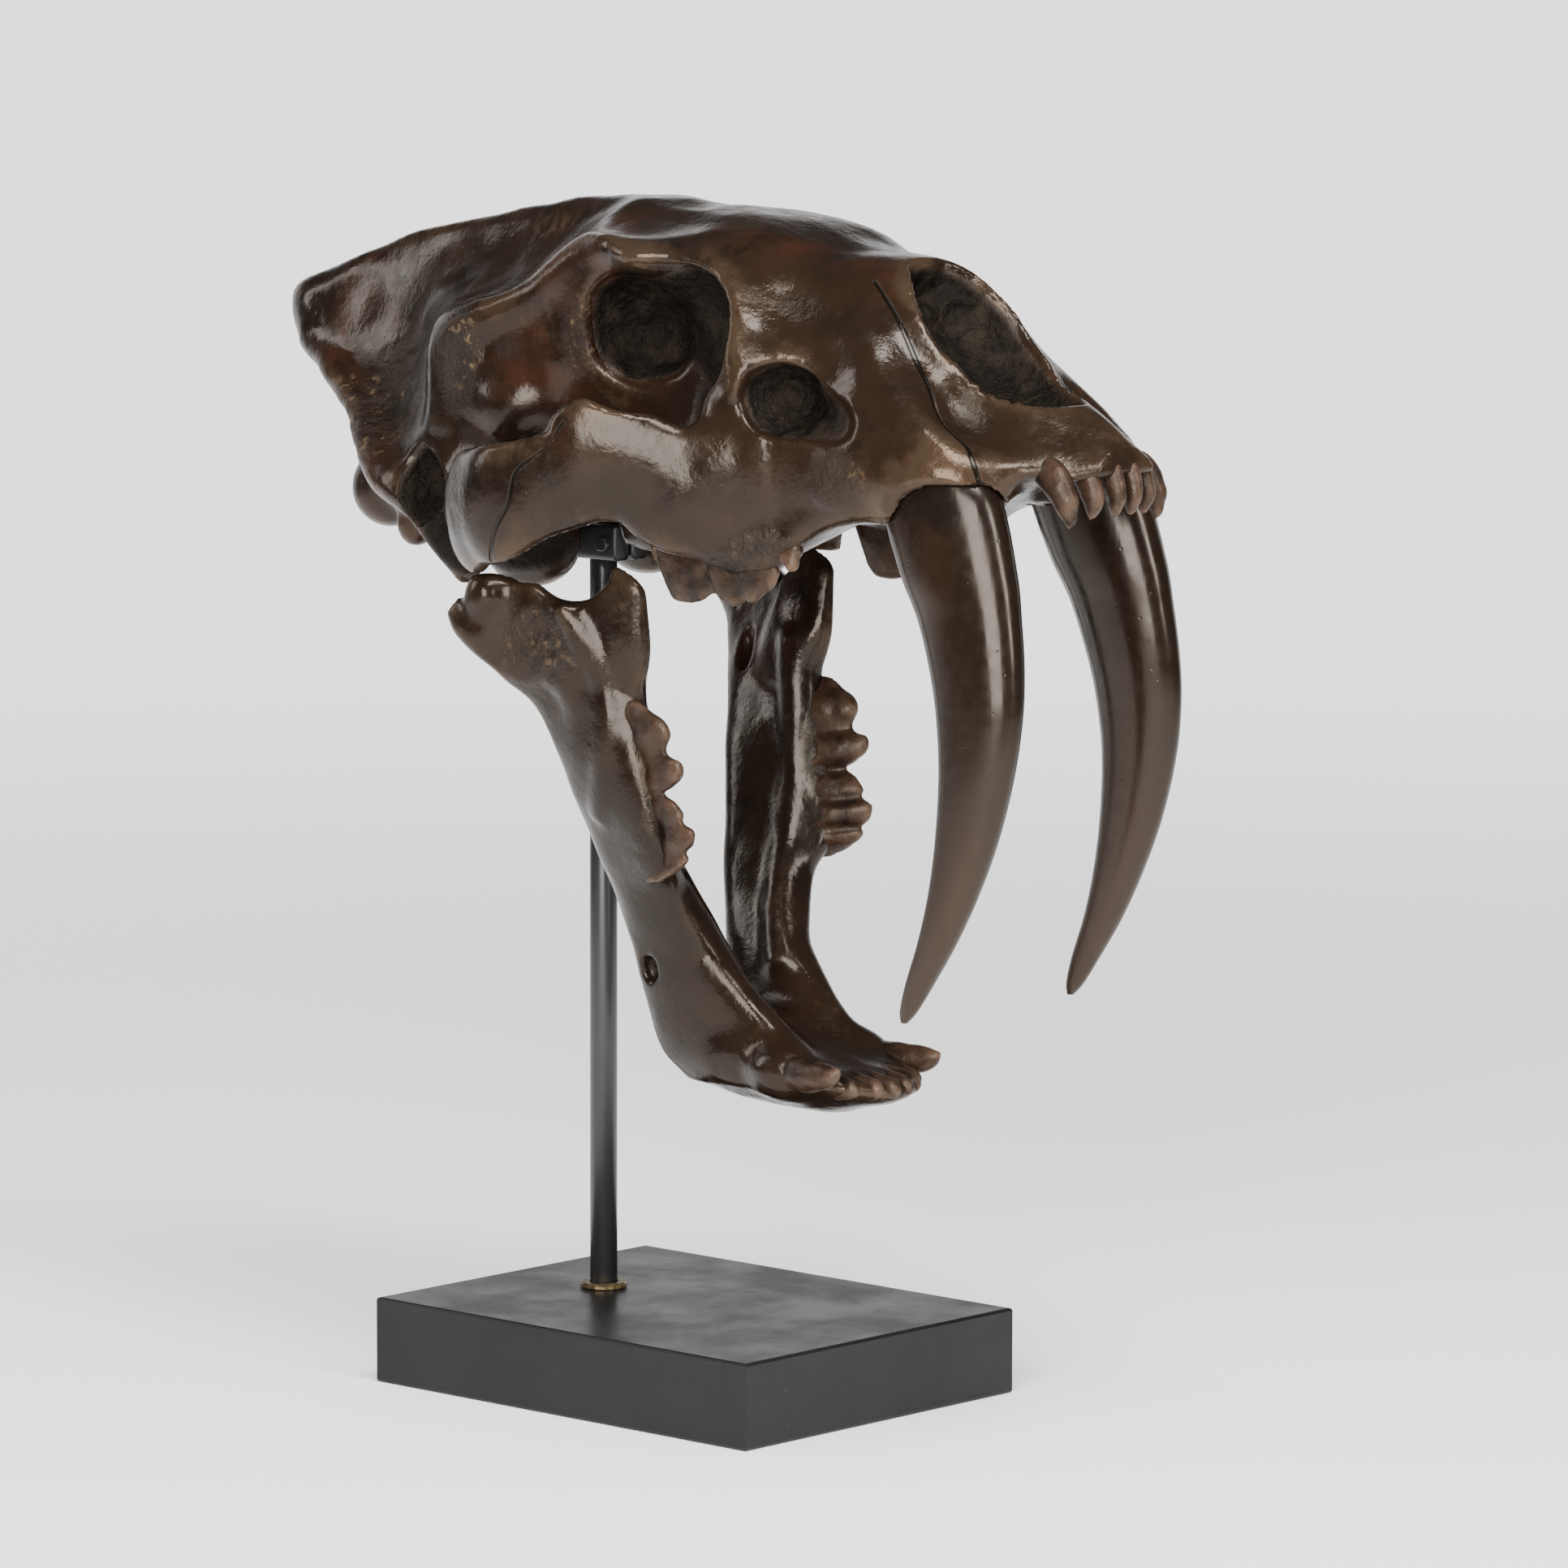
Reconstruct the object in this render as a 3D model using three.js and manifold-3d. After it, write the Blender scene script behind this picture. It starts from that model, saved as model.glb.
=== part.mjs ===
// A bronze cast of a sabre-toothed cat's skull, mouth wide open, carried on a rod over a black block.
// Millimetres. +X runs from the back of the skull to the muzzle, +Y to the animal's left, +Z up.
// The origin is the middle of the block's underside. The skull and the rod stand in the plane y = 0.
import * as THREE from "three";
import { mergeVertices } from "three/addons/utils/BufferGeometryUtils.js";
import Module from "manifold-3d";

const wasm = await Module();
wasm.setup();

// Driving dimensions of the stand
const BASE = { length: 146, width: 114, height: 25, bevel: 0.8 };
const ROD = { x: -36, radius: 4, socketDepth: 14, top: 246 };
const WASHER = { radius: 6.9, thickness: 1.4, facets: 16 };
const CLAMP = { length: 21, width: 13, bottom: 240, height: 9.5, pegRadius: 3, pegTop: 266 };
const GAP = 0.3; // clear space between pieces that touch

// How finely the forms are cut into facets
const FACETS = { craniumSteps: 22, bar: 8, ridge: 6, tooth: 6, jaw: 10, sabre: 12, ball: [8, 5], rod: 24 };

const BRONZE = new THREE.MeshStandardMaterial({ color: 0x3a2a20, roughness: 0.3, metalness: 0.9 });
const IVORY_BRONZE = new THREE.MeshStandardMaterial({ color: 0x4a3425, roughness: 0.3, metalness: 0.9 });
const BLACK_STEEL = new THREE.MeshStandardMaterial({ color: 0x151515, roughness: 0.4, metalness: 0.6 });
const BLACK_PAINT = new THREE.MeshStandardMaterial({ color: 0x2b2a2b, roughness: 0.55, metalness: 0 });
const BRASS = new THREE.MeshStandardMaterial({ color: 0x7a6238, roughness: 0.45, metalness: 0.9 });

// A smooth value list: rows of numbers, each column carried through its own smooth curve
function smoothRows(rows, count) {
  return Array.from({ length: count }, (_, i) => {
    const t = (i / (count - 1)) * (rows.length - 1);
    const k = Math.min(Math.floor(t), rows.length - 2);
    const f = t - k;
    const [before, from, to] = [rows[Math.max(k - 1, 0)], rows[k], rows[k + 1]];
    const after = rows[Math.min(k + 2, rows.length - 1)];
    return from.map((v, j) => {
      const [a, c, d] = [before[j], to[j], after[j]];
      const cubic = 3 * (v - c) + d - a;
      const square = 2 * a - 5 * v + 4 * c - d;
      return v + 0.5 * f * (c - a + f * (square + f * cubic));
    });
  });
}

// A closed skin over rings of points; each end is closed to the middle of its ring
function skin(rings) {
  const n = rings[0].length;
  const middle = (ring) => ring.reduce((s, p) => s.add(p), new THREE.Vector3()).divideScalar(n);
  const points = [...rings.flat(), middle(rings[0]), middle(rings[rings.length - 1])];
  const index = [];
  for (let r = 0; r < rings.length - 1; r++)
    for (let i = 0; i < n; i++) {
      const j = (i + 1) % n;
      const [a, b, c, d] = [r * n + i, r * n + j, (r + 1) * n + j, (r + 1) * n + i];
      index.push(a, b, c, a, c, d);
    }
  const [first, last] = [points.length - 2, points.length - 1];
  const top = (rings.length - 1) * n;
  for (let i = 0; i < n; i++) {
    const j = (i + 1) % n;
    index.push(first, j, i, last, top + i, top + j);
  }
  return solid(new THREE.BufferGeometry().setFromPoints(points).setIndex(index));
}

// A three.js geometry as a solid that can be joined and cut
function solid(geometry) {
  const g = geometry.clone();
  g.deleteAttribute("normal");
  g.deleteAttribute("uv");
  const merged = mergeVertices(g, 1e-4);
  const vertProperties = new Float32Array(merged.attributes.position.array);
  const triVerts = new Uint32Array(merged.index.array);
  if (signedVolume(vertProperties, triVerts) < 0)
    for (let i = 0; i < triVerts.length; i += 3)
      [triVerts[i + 1], triVerts[i + 2]] = [triVerts[i + 2], triVerts[i + 1]];
  return new wasm.Manifold(new wasm.Mesh({ numProp: 3, vertProperties, triVerts }));
}

function signedVolume(v, t) {
  const at = (i) => new THREE.Vector3(v[3 * i], v[3 * i + 1], v[3 * i + 2]);
  let sum = 0;
  for (let i = 0; i < t.length; i += 3) sum += at(t[i]).dot(at(t[i + 1]).cross(at(t[i + 2])));
  return sum / 6;
}

const join = (...solids) => solids.reduce((a, b) => a.add(b));
const cut = (body, ...tools) => tools.reduce((a, b) => a.subtract(b), body);
const SIDES = [1, -1]; // left, right
const both = (make) => SIDES.map(make);

const upward = () => new THREE.Vector3(0, 0, 1);

// A bar along a path of rows [x, y, z, half width, half height]; out gives the direction of its half height
function bar(rows, side, { steps = rows.length, facets = FACETS.bar, out = upward } = {}) {
  const fine = smoothRows(rows, steps).map(([x, y, z, ...size]) => ({
    at: new THREE.Vector3(x, side * y, z),
    size,
  }));
  return skin(
    fine.map(({ at, size: [wide, high] }, i) => {
      const along = fine[Math.min(i + 1, steps - 1)].at.clone().sub(fine[Math.max(i - 1, 0)].at).normalize();
      const across = out(at).cross(along).normalize();
      const up = along.clone().cross(across).normalize();
      return Array.from({ length: facets }, (_, k) => {
        const turn = (2 * Math.PI * k) / facets;
        return at
          .clone()
          .addScaledVector(across, wide * Math.cos(turn))
          .addScaledVector(up, high * Math.sin(turn));
      });
    }),
  );
}

// An ellipsoid at a point, tilted about the Y axis
function ball([x, y, z], [rx, ry, rz], tilt = 0) {
  const g = new THREE.SphereGeometry(1, ...FACETS.ball);
  g.applyMatrix4(
    new THREE.Matrix4().compose(
      new THREE.Vector3(x, y, z),
      new THREE.Quaternion().setFromAxisAngle(new THREE.Vector3(0, 1, 0), tilt),
      new THREE.Vector3(rx, ry, rz),
    ),
  );
  return solid(g);
}

const onSide = ({ at: [x, y, z], radii, tilt }, side) => ball([x, side * y, z], radii, tilt);

// Cranium sections, back to front: x, then half an outline [y, z] from the top, down the side, to the palate
const CRANIUM = [
  [-160, [[0, 311.5], [1, 311.5], [2, 311], [2.6, 310.3], [3, 309.5], [3, 308.5], [3, 307.5], [3, 306.5],
    [2.8, 305.5], [2.4, 304.7], [2, 304], [1.4, 303.6], [0.8, 303.4], [0, 303.3]]],
  [-155, [[0, 315], [3, 315], [5, 314.2], [7, 312.5], [8, 310.5], [8.5, 308], [8.5, 305], [8, 302], [7, 299.5],
    [6, 297.5], [5, 296], [4, 295], [2, 294.5], [0, 294.3]]],
  [-148, [[0, 317.2], [4, 317.2], [7, 316], [10, 313.5], [11.5, 310.5], [12, 307], [12, 303.5], [11.5, 300],
    [10.5, 297], [9, 294.5], [7, 292.5], [5, 291], [2.5, 290.5], [0, 290.2]]],
  [-140, [[0, 320], [4, 319.5], [8, 317], [10.5, 313.5], [12, 309.5], [13, 305], [13, 301], [13, 297], [12.5, 293.5],
    [10.5, 290.5], [8, 288], [5.5, 286], [2.5, 285], [0, 284.5]]],
  [-125, [[0, 325.5], [4, 324.5], [7, 320], [9, 314], [11, 308], [13, 302], [15, 296], [18, 290], [20.5, 286.5],
    [19, 283], [15, 279], [10, 274], [5, 271], [0, 270]]],
  [-110, [[0, 331], [4, 329], [7, 323], [9, 316], [11, 308], [14, 300], [18, 292], [23, 285], [29.5, 280],
    [28, 274], [24, 266], [18, 257], [10, 250], [0, 248]]],
  [-92, [[0, 334.8], [4, 333], [7, 327], [11, 319], [15, 310], [19, 300], [24, 289], [31, 277], [41, 268.5],
    [41, 263], [34, 256], [25, 251], [13, 248], [0, 247]]],
  [-75, [[0, 338.3], [4.5, 336], [8, 329], [15, 320], [24, 313], [30, 306], [34, 294], [38, 279], [46, 264],
    [46, 258], [38, 253], [27, 250], [14, 249], [0, 249]]],
  [-64, [[0, 340.5], [5, 338], [10, 329], [20, 319], [34, 313], [41, 308], [42, 295], [42, 280], [46, 264],
    [46, 256], [38, 252], [27, 250], [14, 250], [0, 250]]],
  [-50, [[0, 342.6], [5, 340.5], [11, 332], [22, 322], [34, 316.5], [41, 312.5], [42.5, 298], [41, 282],
    [42, 266], [42, 256], [35, 253], [25, 252], [13, 251], [0, 251]]],
  [-35, [[0, 344.7], [5.5, 343], [12, 336], [22, 327], [31, 321], [37.5, 317.5], [38.5, 302], [37, 286],
    [34, 272], [30, 263], [24, 257], [17, 254], [9, 253], [0, 253]]],
  [-15, [[0, 345.4], [8, 345], [17, 342], [26, 337.5], [33, 333], [37.5, 328.5], [38.5, 316], [37.5, 301],
    [34, 286], [28, 272], [21, 263], [15, 258], [8, 256], [0, 256]]],
  [3, [[0, 344.6], [12, 343.6], [24, 341.4], [34, 339.2], [42, 336.8], [43.5, 332], [41, 322], [37, 309],
    [33, 296], [29, 282], [24, 268], [18, 260], [10, 258], [0, 258]]],
  [18, [[0, 343.8], [12, 342.8], [24, 340.4], [35, 337.4], [46, 334.2], [46.5, 330], [36, 323], [30, 314],
    [27, 300], [27, 286], [29, 272], [26, 261], [13, 259], [0, 260]]],
  [33, [[0, 343], [12, 342.4], [22, 340], [31, 336.6], [40, 332.4], [38, 327], [33, 321], [30, 312], [28, 300],
    [29, 286], [36, 272], [43, 262], [42, 250], [0, 260]]],
  [50, [[0, 340], [12, 339.5], [22, 337], [32, 332], [40, 326], [44.5, 318], [46, 310], [47.5, 302],
    [50, 293], [52, 282], [50, 266], [46, 249], [33, 250], [0, 262]]],
  [65, [[0, 335], [11, 334.5], [20, 332], [29, 327.5], [37, 321], [43, 313], [46, 305], [48, 297], [49.5, 288],
    [49, 277], [47.5, 263], [45, 247], [31, 250], [0, 264]]],
  [80, [[0, 333], [9, 332.8], [17, 329.5], [25, 324], [33, 316.5], [39, 309], [42.5, 302], [45, 295],
    [46.5, 287], [46.5, 277], [45, 266], [43, 255], [28, 256], [0, 266]]],
  [92, [[0, 331], [9, 330.5], [16, 327.5], [23, 320.5], [30, 312], [36, 304], [40, 297], [43.5, 290], [45.5, 283],
    [46, 275], [44.5, 267], [41, 261], [25, 262], [0, 268]]],
  [104, [[0, 323], [9, 323], [16, 320.6], [20.5, 316.5], [26, 308.6], [32, 301], [37, 293.5], [41, 287], [44, 281],
    [45.5, 275], [44, 269], [39, 263.5], [24, 264], [0, 268]]],
  [116, [[0, 310], [9, 310], [15, 308.2], [19.5, 304.5], [24, 299.2], [29, 293.5], [34, 288.5], [38.5, 283.5],
    [42, 279], [43.5, 274.5], [42, 270], [37, 265.5], [22, 265], [0, 267]]],
  [127, [[0, 302.5], [7, 302], [12, 301.2], [17, 298], [20, 294.5], [25, 290], [30, 286], [34.5, 282.5],
    [38, 279], [39.5, 275.5], [38, 271.5], [33, 268], [20, 267], [0, 267]]],
  [137, [[0, 297.5], [5, 297.3], [9, 296.3], [12, 294.5], [16, 291.5], [20, 288], [24, 284.8], [28, 282],
    [31, 279.5], [32, 277], [31, 274.5], [27, 272.5], [16, 271], [0, 271]]],
  [147, [[0, 294], [4, 293.6], [8, 291.4], [11, 289.2], [14, 287], [17, 284.7], [19.5, 282.7], [21.5, 280.8],
    [23, 279.3], [23.5, 278], [22.5, 277], [19, 275.5], [11, 274.5], [0, 274.5]]],
  [156, [[0, 289.8], [3.5, 289], [7, 286.8], [10, 284.3], [12.5, 282], [14.5, 280], [16, 278.6], [17, 277.6],
    [17, 276.8], [16.5, 276.2], [15, 275.8], [12, 275.6], [7, 275.5], [0, 275.5]]],
  [162, [[0, 285], [2.5, 284.8], [5, 284], [7, 282.8], [9, 281.4], [10.3, 280.2], [11, 279.2], [11.3, 278.4],
    [11, 277.7], [10.2, 277.2], [9, 276.8], [7, 276.6], [4, 276.5], [0, 276.5]]],
];

// The brain case, brow, face and palate as one skin through the sections
function craniumBody() {
  const rows = smoothRows(
    CRANIUM.map(([x, outline]) => [x, ...outline.flat()]),
    FACETS.craniumSteps,
  );
  return skin(
    rows.map(([x, ...flat]) => {
      const count = flat.length / 2;
      const half = Array.from({ length: count }, (_, i) => new THREE.Vector3(x, flat[2 * i], flat[2 * i + 1]));
      const mirrored = half.slice(1, -1).reverse();
      return [...half, ...mirrored.map((p) => new THREE.Vector3(p.x, -p.y, p.z))];
    }),
  );
}

// Cheek arch from the upper jaw, round the temple, to the jaw joint
const CHEEK_ARCH = [
  [66, 41, 268, 7, 21],
  [54, 49, 267, 7, 19],
  [44, 56, 269.5, 6.5, 18],
  [36, 62, 274.5, 6, 16],
  [28, 68, 277, 5.5, 18.5],
  [20, 72, 272, 5.5, 15],
  [8, 77, 267.5, 5.5, 15],
  [-5, 77.5, 263, 6, 16.5],
  [-18, 71, 260, 6.5, 17],
  [-30, 60.5, 256.5, 7.5, 16.5],
  [-41, 47, 257, 8.5, 15],
  [-48, 33, 260, 9, 14],
];

// Crest round the back of the skull, from over the top to the point behind the ear
const NECK_CREST = [
  [-148, 4, 297, 4, 6],
  [-128, 13, 290, 4, 7],
  [-106.5, 24, 280, 4, 7],
  [-88, 36, 268, 4.5, 7],
  [-77, 40, 262, 5, 7],
  [-66, 43, 256, 5.5, 7],
  [-56, 45, 249, 5.5, 6.5],
  [-48, 47, 243, 5, 5.5],
  [-42, 49.5, 237, 3.5, 3.5],
];
const BRAIN_MIDDLE = new THREE.Vector3(-75, 0, 275);
const awayFromBrain = (p) => p.clone().sub(BRAIN_MIDDLE);
const forward = () => new THREE.Vector3(1, 0, 0);
const alongMuzzle = () => new THREE.Vector3(1, 0, 0.6);

// Swelling of the upper jaw over the root of the sabre
const SABRE_SOCKET = [
  [125, 30, 261, 9.5, 18],
  [119, 31.5, 273, 12, 17],
  [109, 31.5, 283, 11.5, 15],
  [98, 31, 293, 10, 12.5],
  [90, 29, 304, 8, 10],
  [82, 26, 315, 5.5, 7],
];

// Thin bones under the skull on each side, from behind the cheek teeth to the ear
const PALATE_WING = [
  [24, 36, 256, 7, 13],
  [8, 20, 256, 3.5, 11],
  [-12, 16, 254, 3, 8],
];

// Sabre, root to tip: height z, middle x, middle y, half length fore and aft, half thickness
const SABRE = [
  [282, 117, 30, 14, 8],
  [270, 121, 30.5, 19, 9.6],
  [250, 128.5, 31.6, 19.2, 10],
  [237, 133.1, 32.3, 17.4, 9.5],
  [224, 136.4, 33, 15.8, 8.8],
  [211, 138.2, 33.8, 14.3, 8.1],
  [195, 138, 34.6, 12.4, 7.3],
  [177, 135, 35, 10.3, 6.3],
  [161, 130.3, 35.2, 8.1, 5.3],
  [147, 124.6, 35.4, 6.2, 4.3],
  [135, 118.3, 35.4, 4.5, 3.2],
  [127, 114.3, 35.4, 2.8, 2.1],
  [123.5, 112.6, 35.4, 1, 0.8],
];

// The sabre as level rings; grow widens it all round, to cut its socket
function sabre(side, grow = 0) {
  return skin(
    smoothRows(SABRE, SABRE.length + 1).map(([z, x, y, fore, thick]) =>
      Array.from({ length: FACETS.sabre }, (_, k) => {
        const turn = (2 * Math.PI * k) / FACETS.sabre;
        const [along, across] = [(fore + grow) * Math.cos(turn), (thick + grow) * Math.sin(turn)];
        return new THREE.Vector3(x + along, side * y + across, z);
      }),
    ),
  );
}

// Upper front teeth on one side, from the middle outwards: root, belly, tip and half width
const UPPER_INCISORS = [
  { root: [155, 3.7, 281], belly: [161, 3.7, 273], tip: [160, 3.2, 266], half: 2.9 },
  { root: [152, 10.8, 281], belly: [158.5, 11, 273], tip: [158, 11, 265], half: 3.2 },
  { root: [144.5, 17.5, 278.5], belly: [154, 18.8, 273], tip: [156.5, 18, 263], half: 4.2 },
];

function incisor({ root, belly, tip, half }, side) {
  const rows = [
    [...root, half, half + 2],
    [...belly, half, half + 1.5],
    [...tip, half * 0.4, half * 0.4],
  ];
  return bar(rows, side, { steps: 4, facets: FACETS.tooth, out: alongMuzzle });
}

// Points of the upper cheek teeth: where they end below, and half length
const UPPER_CHEEK_POINTS = [
  [37.5, 42.5, 238, 7],
  [51, 42.5, 238.5, 6.5],
  [63, 42, 241, 6.5],
];

function upperCheekTeeth(side) {
  return join(
    ...UPPER_CHEEK_POINTS.map(([x, y, z, half]) => {
      const rows = [
        [x, y - 1, z + 18, 4.5, half],
        [x, y, z + 8, 4.6, half],
        [x, y, z + 1.5, 2.6, half * 0.85],
        [x, y, z, 1, half * 0.6],
      ];
      return bar(rows, side, { steps: 4, facets: FACETS.tooth, out: forward });
    }),
  );
}

// Hollows of the face and ear on each side: middle, radii and tilt
const HOLLOWS = [
  { at: [38, 58, 310.5], radii: [23.5, 30, 22], tilt: 0.1 },
  { at: [16, 43, 305.5], radii: [20, 17, 18], tilt: 0 },
  { at: [82, 50, 294.5], radii: [16, 11, 10.5], tilt: 0.3 },
  { at: [71, 43, 296], radii: [10, 9, 8], tilt: 0 },
  { at: [126, 47, 263], radii: [23, 12, 13], tilt: 0 },
  { at: [-64, 52, 263], radii: [9, 12, 9], tilt: 0 },
];

// Hole for the spinal cord, and the hollow of the throat behind the palate
const NECK_HOLE = { at: [-124, 0, 258], radii: [14, 8, 7] };
const THROAT = { at: [12, 0, 256], radii: [24, 12, 12] };

// Opening of the nose: its rim as a hollow that slopes down to the front
const NOSE = [
  [88, 0, 329, 8, 8],
  [96, 0, 325.5, 14, 13],
  [104, 0, 318.5, 18.3, 16],
  [112, 0, 310, 18.5, 15],
  [118.5, 0, 304.8, 17.5, 13],
  [124.5, 0, 300.8, 16, 11],
  [130, 0, 298, 14, 9],
  [136, 0, 296, 11, 7],
  [141, 0, 295, 7, 4.5],
  [144, 0, 294.8, 2, 2],
];

// Rounded bones under the back of the skull on each side: neck joint, ear drum, process behind it
const BASE_KNOBS = [
  { at: [-109, 14, 256], radii: [12, 10.5, 11.5] },
  { at: [-42, 24, 246], radii: [17, 10, 13.5] },
  { at: [-82, 30, 249], radii: [6, 6, 7] },
];

const CONDYLE = { at: [-30, 54, 233.5], radii: [5.5, 11.5, 5] };

function cranium() {
  const eachSide = (s) => [
    bar(CHEEK_ARCH, s, { steps: 13 }),
    bar(NECK_CREST, s, { steps: 9, facets: FACETS.ridge, out: awayFromBrain }),
    bar(SABRE_SOCKET, s, { steps: 8, out: alongMuzzle }),
    bar(PALATE_WING, s, { steps: 4, facets: FACETS.tooth }),
    ...BASE_KNOBS.map((knob) => onSide(knob, s)),
  ];
  const hollows = [
    ...both((s) => HOLLOWS.map((hollow) => onSide(hollow, s))).flat(),
    onSide(NECK_HOLE, 1),
    onSide(THROAT, 1),
    bar(NOSE, 1, { steps: 9, facets: 10 }),
  ];
  const bone = cut(join(craniumBody(), ...both(eachSide).flat()), ...hollows);
  const teeth = both((s) => [upperCheekTeeth(s), ...UPPER_INCISORS.map((t) => incisor(t, s))]).flat();
  const clearance = { at: CONDYLE.at, radii: CONDYLE.radii.map((r) => r + 2 * GAP) };
  return cut(
    join(bone, ...teeth),
    ...both((s) => sabre(s, GAP)),
    ...both((s) => onSide(clearance, s)),
    clamp(GAP),
  );
}

// Branch of the lower jaw, joint to chin: rear edge x, z, y, front edge x, z, y, half thickness
const JAW_BRANCH = [
  [-34, 235.5, 55, 14.5, 236, 38.8, 2.5],
  [-37, 227, 56, 16, 226, 38.3, 3.5],
  [-35, 219, 54.5, 14, 217, 36.5, 5],
  [-29.5, 210, 48, 13, 209, 36, 6],
  [-23.5, 200.5, 41.5, 14, 201, 37.5, 6.5],
  [-18, 186, 35, 17.5, 187, 38, 7],
  [-14, 171, 30.2, 21, 173, 37, 7.2],
  [-11, 159.4, 26.7, 23, 160, 33.5, 7.3],
  [-7.5, 147.7, 23.4, 20.8, 150, 26.5, 7.3],
  [-4, 133.7, 20, 26, 134.5, 18.3, 7.3],
  [-2, 124.4, 18.5, 32.5, 126, 15.5, 7.3],
  [-0.5, 112.6, 16.1, 44, 115, 13.5, 7.2],
  [2.5, 101, 14, 57, 105, 12.5, 7],
  [10, 94.5, 11.5, 67, 100.5, 12, 6.5],
];

function jawBranch(side) {
  const squared = (v) => Math.sign(v) * Math.abs(v) ** 0.8;
  return skin(
    JAW_BRANCH.map(([bx, bz, by, fx, fz, fy, thick]) =>
      Array.from({ length: FACETS.jaw }, (_, k) => {
        const turn = (2 * Math.PI * k) / FACETS.jaw;
        const t = 0.5 + 0.5 * squared(Math.cos(turn));
        const y = by + (fy - by) * t + thick * squared(Math.sin(turn));
        return new THREE.Vector3(bx + (fx - bx) * t, side * y, bz + (fz - bz) * t);
      }),
    ),
  );
}

// Chin: its outline [x, z] in the middle plane, then how much of its length and height is left at each y
const CHIN_OUTLINE = [[9, 94], [20, 90], [38, 88], [52, 87.5], [66, 89.5], [77, 92.5], [81, 96], [76, 100],
  [62, 104], [46, 109], [32, 114.5], [18, 112], [9, 103]];
const CHIN_STEPS = [[-19, 0.5, 0.35], [-15, 0.8, 0.6], [-8, 0.97, 0.87], [0, 1, 1], [8, 0.97, 0.87],
  [15, 0.8, 0.6], [19, 0.5, 0.35]];
const CHIN_MIDDLE = [44, 100];

function chin() {
  const [mx, mz] = CHIN_MIDDLE;
  return skin(
    CHIN_STEPS.map(([y, long, high]) =>
      CHIN_OUTLINE.map(([x, z]) => new THREE.Vector3(mx + (x - mx) * long, y, mz + (z - mz) * high)),
    ),
  );
}

const CORONOID = [
  [8.5, 41, 222, 3.5, 9],
  [10.5, 40.5, 232, 3.5, 8],
  [12.5, 40, 239, 2.8, 6],
  [14, 40, 242, 1.5, 3],
];
const JAW_ANGLE = [
  [-26, 53, 222, 4.5, 8],
  [-36, 55.5, 226, 4, 6],
  [-41, 56.5, 230, 2.5, 3],
];
const LOWER_CANINE = [
  [50, 15, 101, 6, 6],
  [62, 18, 101.5, 5.5, 5.5],
  [70, 20, 102.5, 4, 4],
  [75, 21, 103.5, 1.3, 1.3],
];
// Lower front teeth on one side: tip x and y
const LOWER_INCISORS = [
  [81, 3],
  [78, 8.5],
  [72.5, 14],
];
// Points of the lower cheek teeth: tip x, y, z, and half length
const LOWER_CHEEK_POINTS = [
  [28, 40, 197.5, 6.5],
  [33, 38.7, 187, 6.5],
  [36, 38.5, 173, 7],
  [34.5, 37, 163, 6],
];

function mandible() {
  const eachSide = (s) => [
    jawBranch(s),
    bar(CORONOID, s, { steps: 4, facets: FACETS.ridge, out: forward }),
    bar(JAW_ANGLE, s, { steps: 3, facets: FACETS.tooth }),
    onSide(CONDYLE, s),
    bar(LOWER_CANINE, s, { steps: 5, facets: FACETS.ridge }),
    ...LOWER_INCISORS.map(([x, y]) => {
      const rows = [
        [x - 15, y, 97.5, 2.5, 3.6],
        [x - 5, y, 96.5, 2.5, 3.4],
        [x, y, 96.5, 1.8, 1.8],
      ];
      return bar(rows, s, { steps: 3, facets: FACETS.tooth });
    }),
    ...LOWER_CHEEK_POINTS.map(([x, y, z, half]) => {
      const rows = [
        [x - 19, y - 1, z - 1, 4.5, half],
        [x - 9, y, z, 4.5, half],
        [x - 3, y, z, 3.2, half * 0.75],
        [x, y, z, 1.2, half * 0.35],
      ];
      return bar(rows, s, { steps: 4, facets: FACETS.tooth });
    }),
  ];
  return join(chin(), ...both(eachSide).flat());
}

// A round bar standing on z
function upright(radius, from, to, x = ROD.x, facets = FACETS.rod) {
  const g = new THREE.CylinderGeometry(radius, radius, to - from, facets).rotateX(Math.PI / 2);
  return solid(g.translate(x, 0, (from + to) / 2));
}

// The block: a rectangle with its edges taken off, drilled for the rod
function base() {
  const { length, width, height, bevel } = BASE;
  const shape = new THREE.Shape();
  const [x, y] = [length / 2 - bevel, width / 2 - bevel];
  shape.moveTo(-x, -y).lineTo(x, -y).lineTo(x, y).lineTo(-x, y).closePath();
  const g = new THREE.ExtrudeGeometry(shape, {
    depth: height - 2 * bevel,
    bevelThickness: bevel,
    bevelSize: bevel,
    bevelSegments: 2,
  });
  return cut(solid(g.translate(0, 0, bevel)), upright(ROD.radius + GAP, height - ROD.socketDepth, height + 1));
}

// The ring round the rod's foot
function washer() {
  const inner = ROD.radius + GAP;
  const { radius, thickness, facets } = WASHER;
  const profile = [
    [inner, 0],
    [radius, 0],
    [radius, thickness * 0.6],
    [radius - 0.7, thickness],
    [inner, thickness],
    [inner, 0],
  ].map(([r, z]) => new THREE.Vector2(r, z));
  const g = new THREE.LatheGeometry(profile, facets).rotateX(Math.PI / 2);
  return solid(g.translate(ROD.x, 0, BASE.height + GAP));
}

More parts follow.
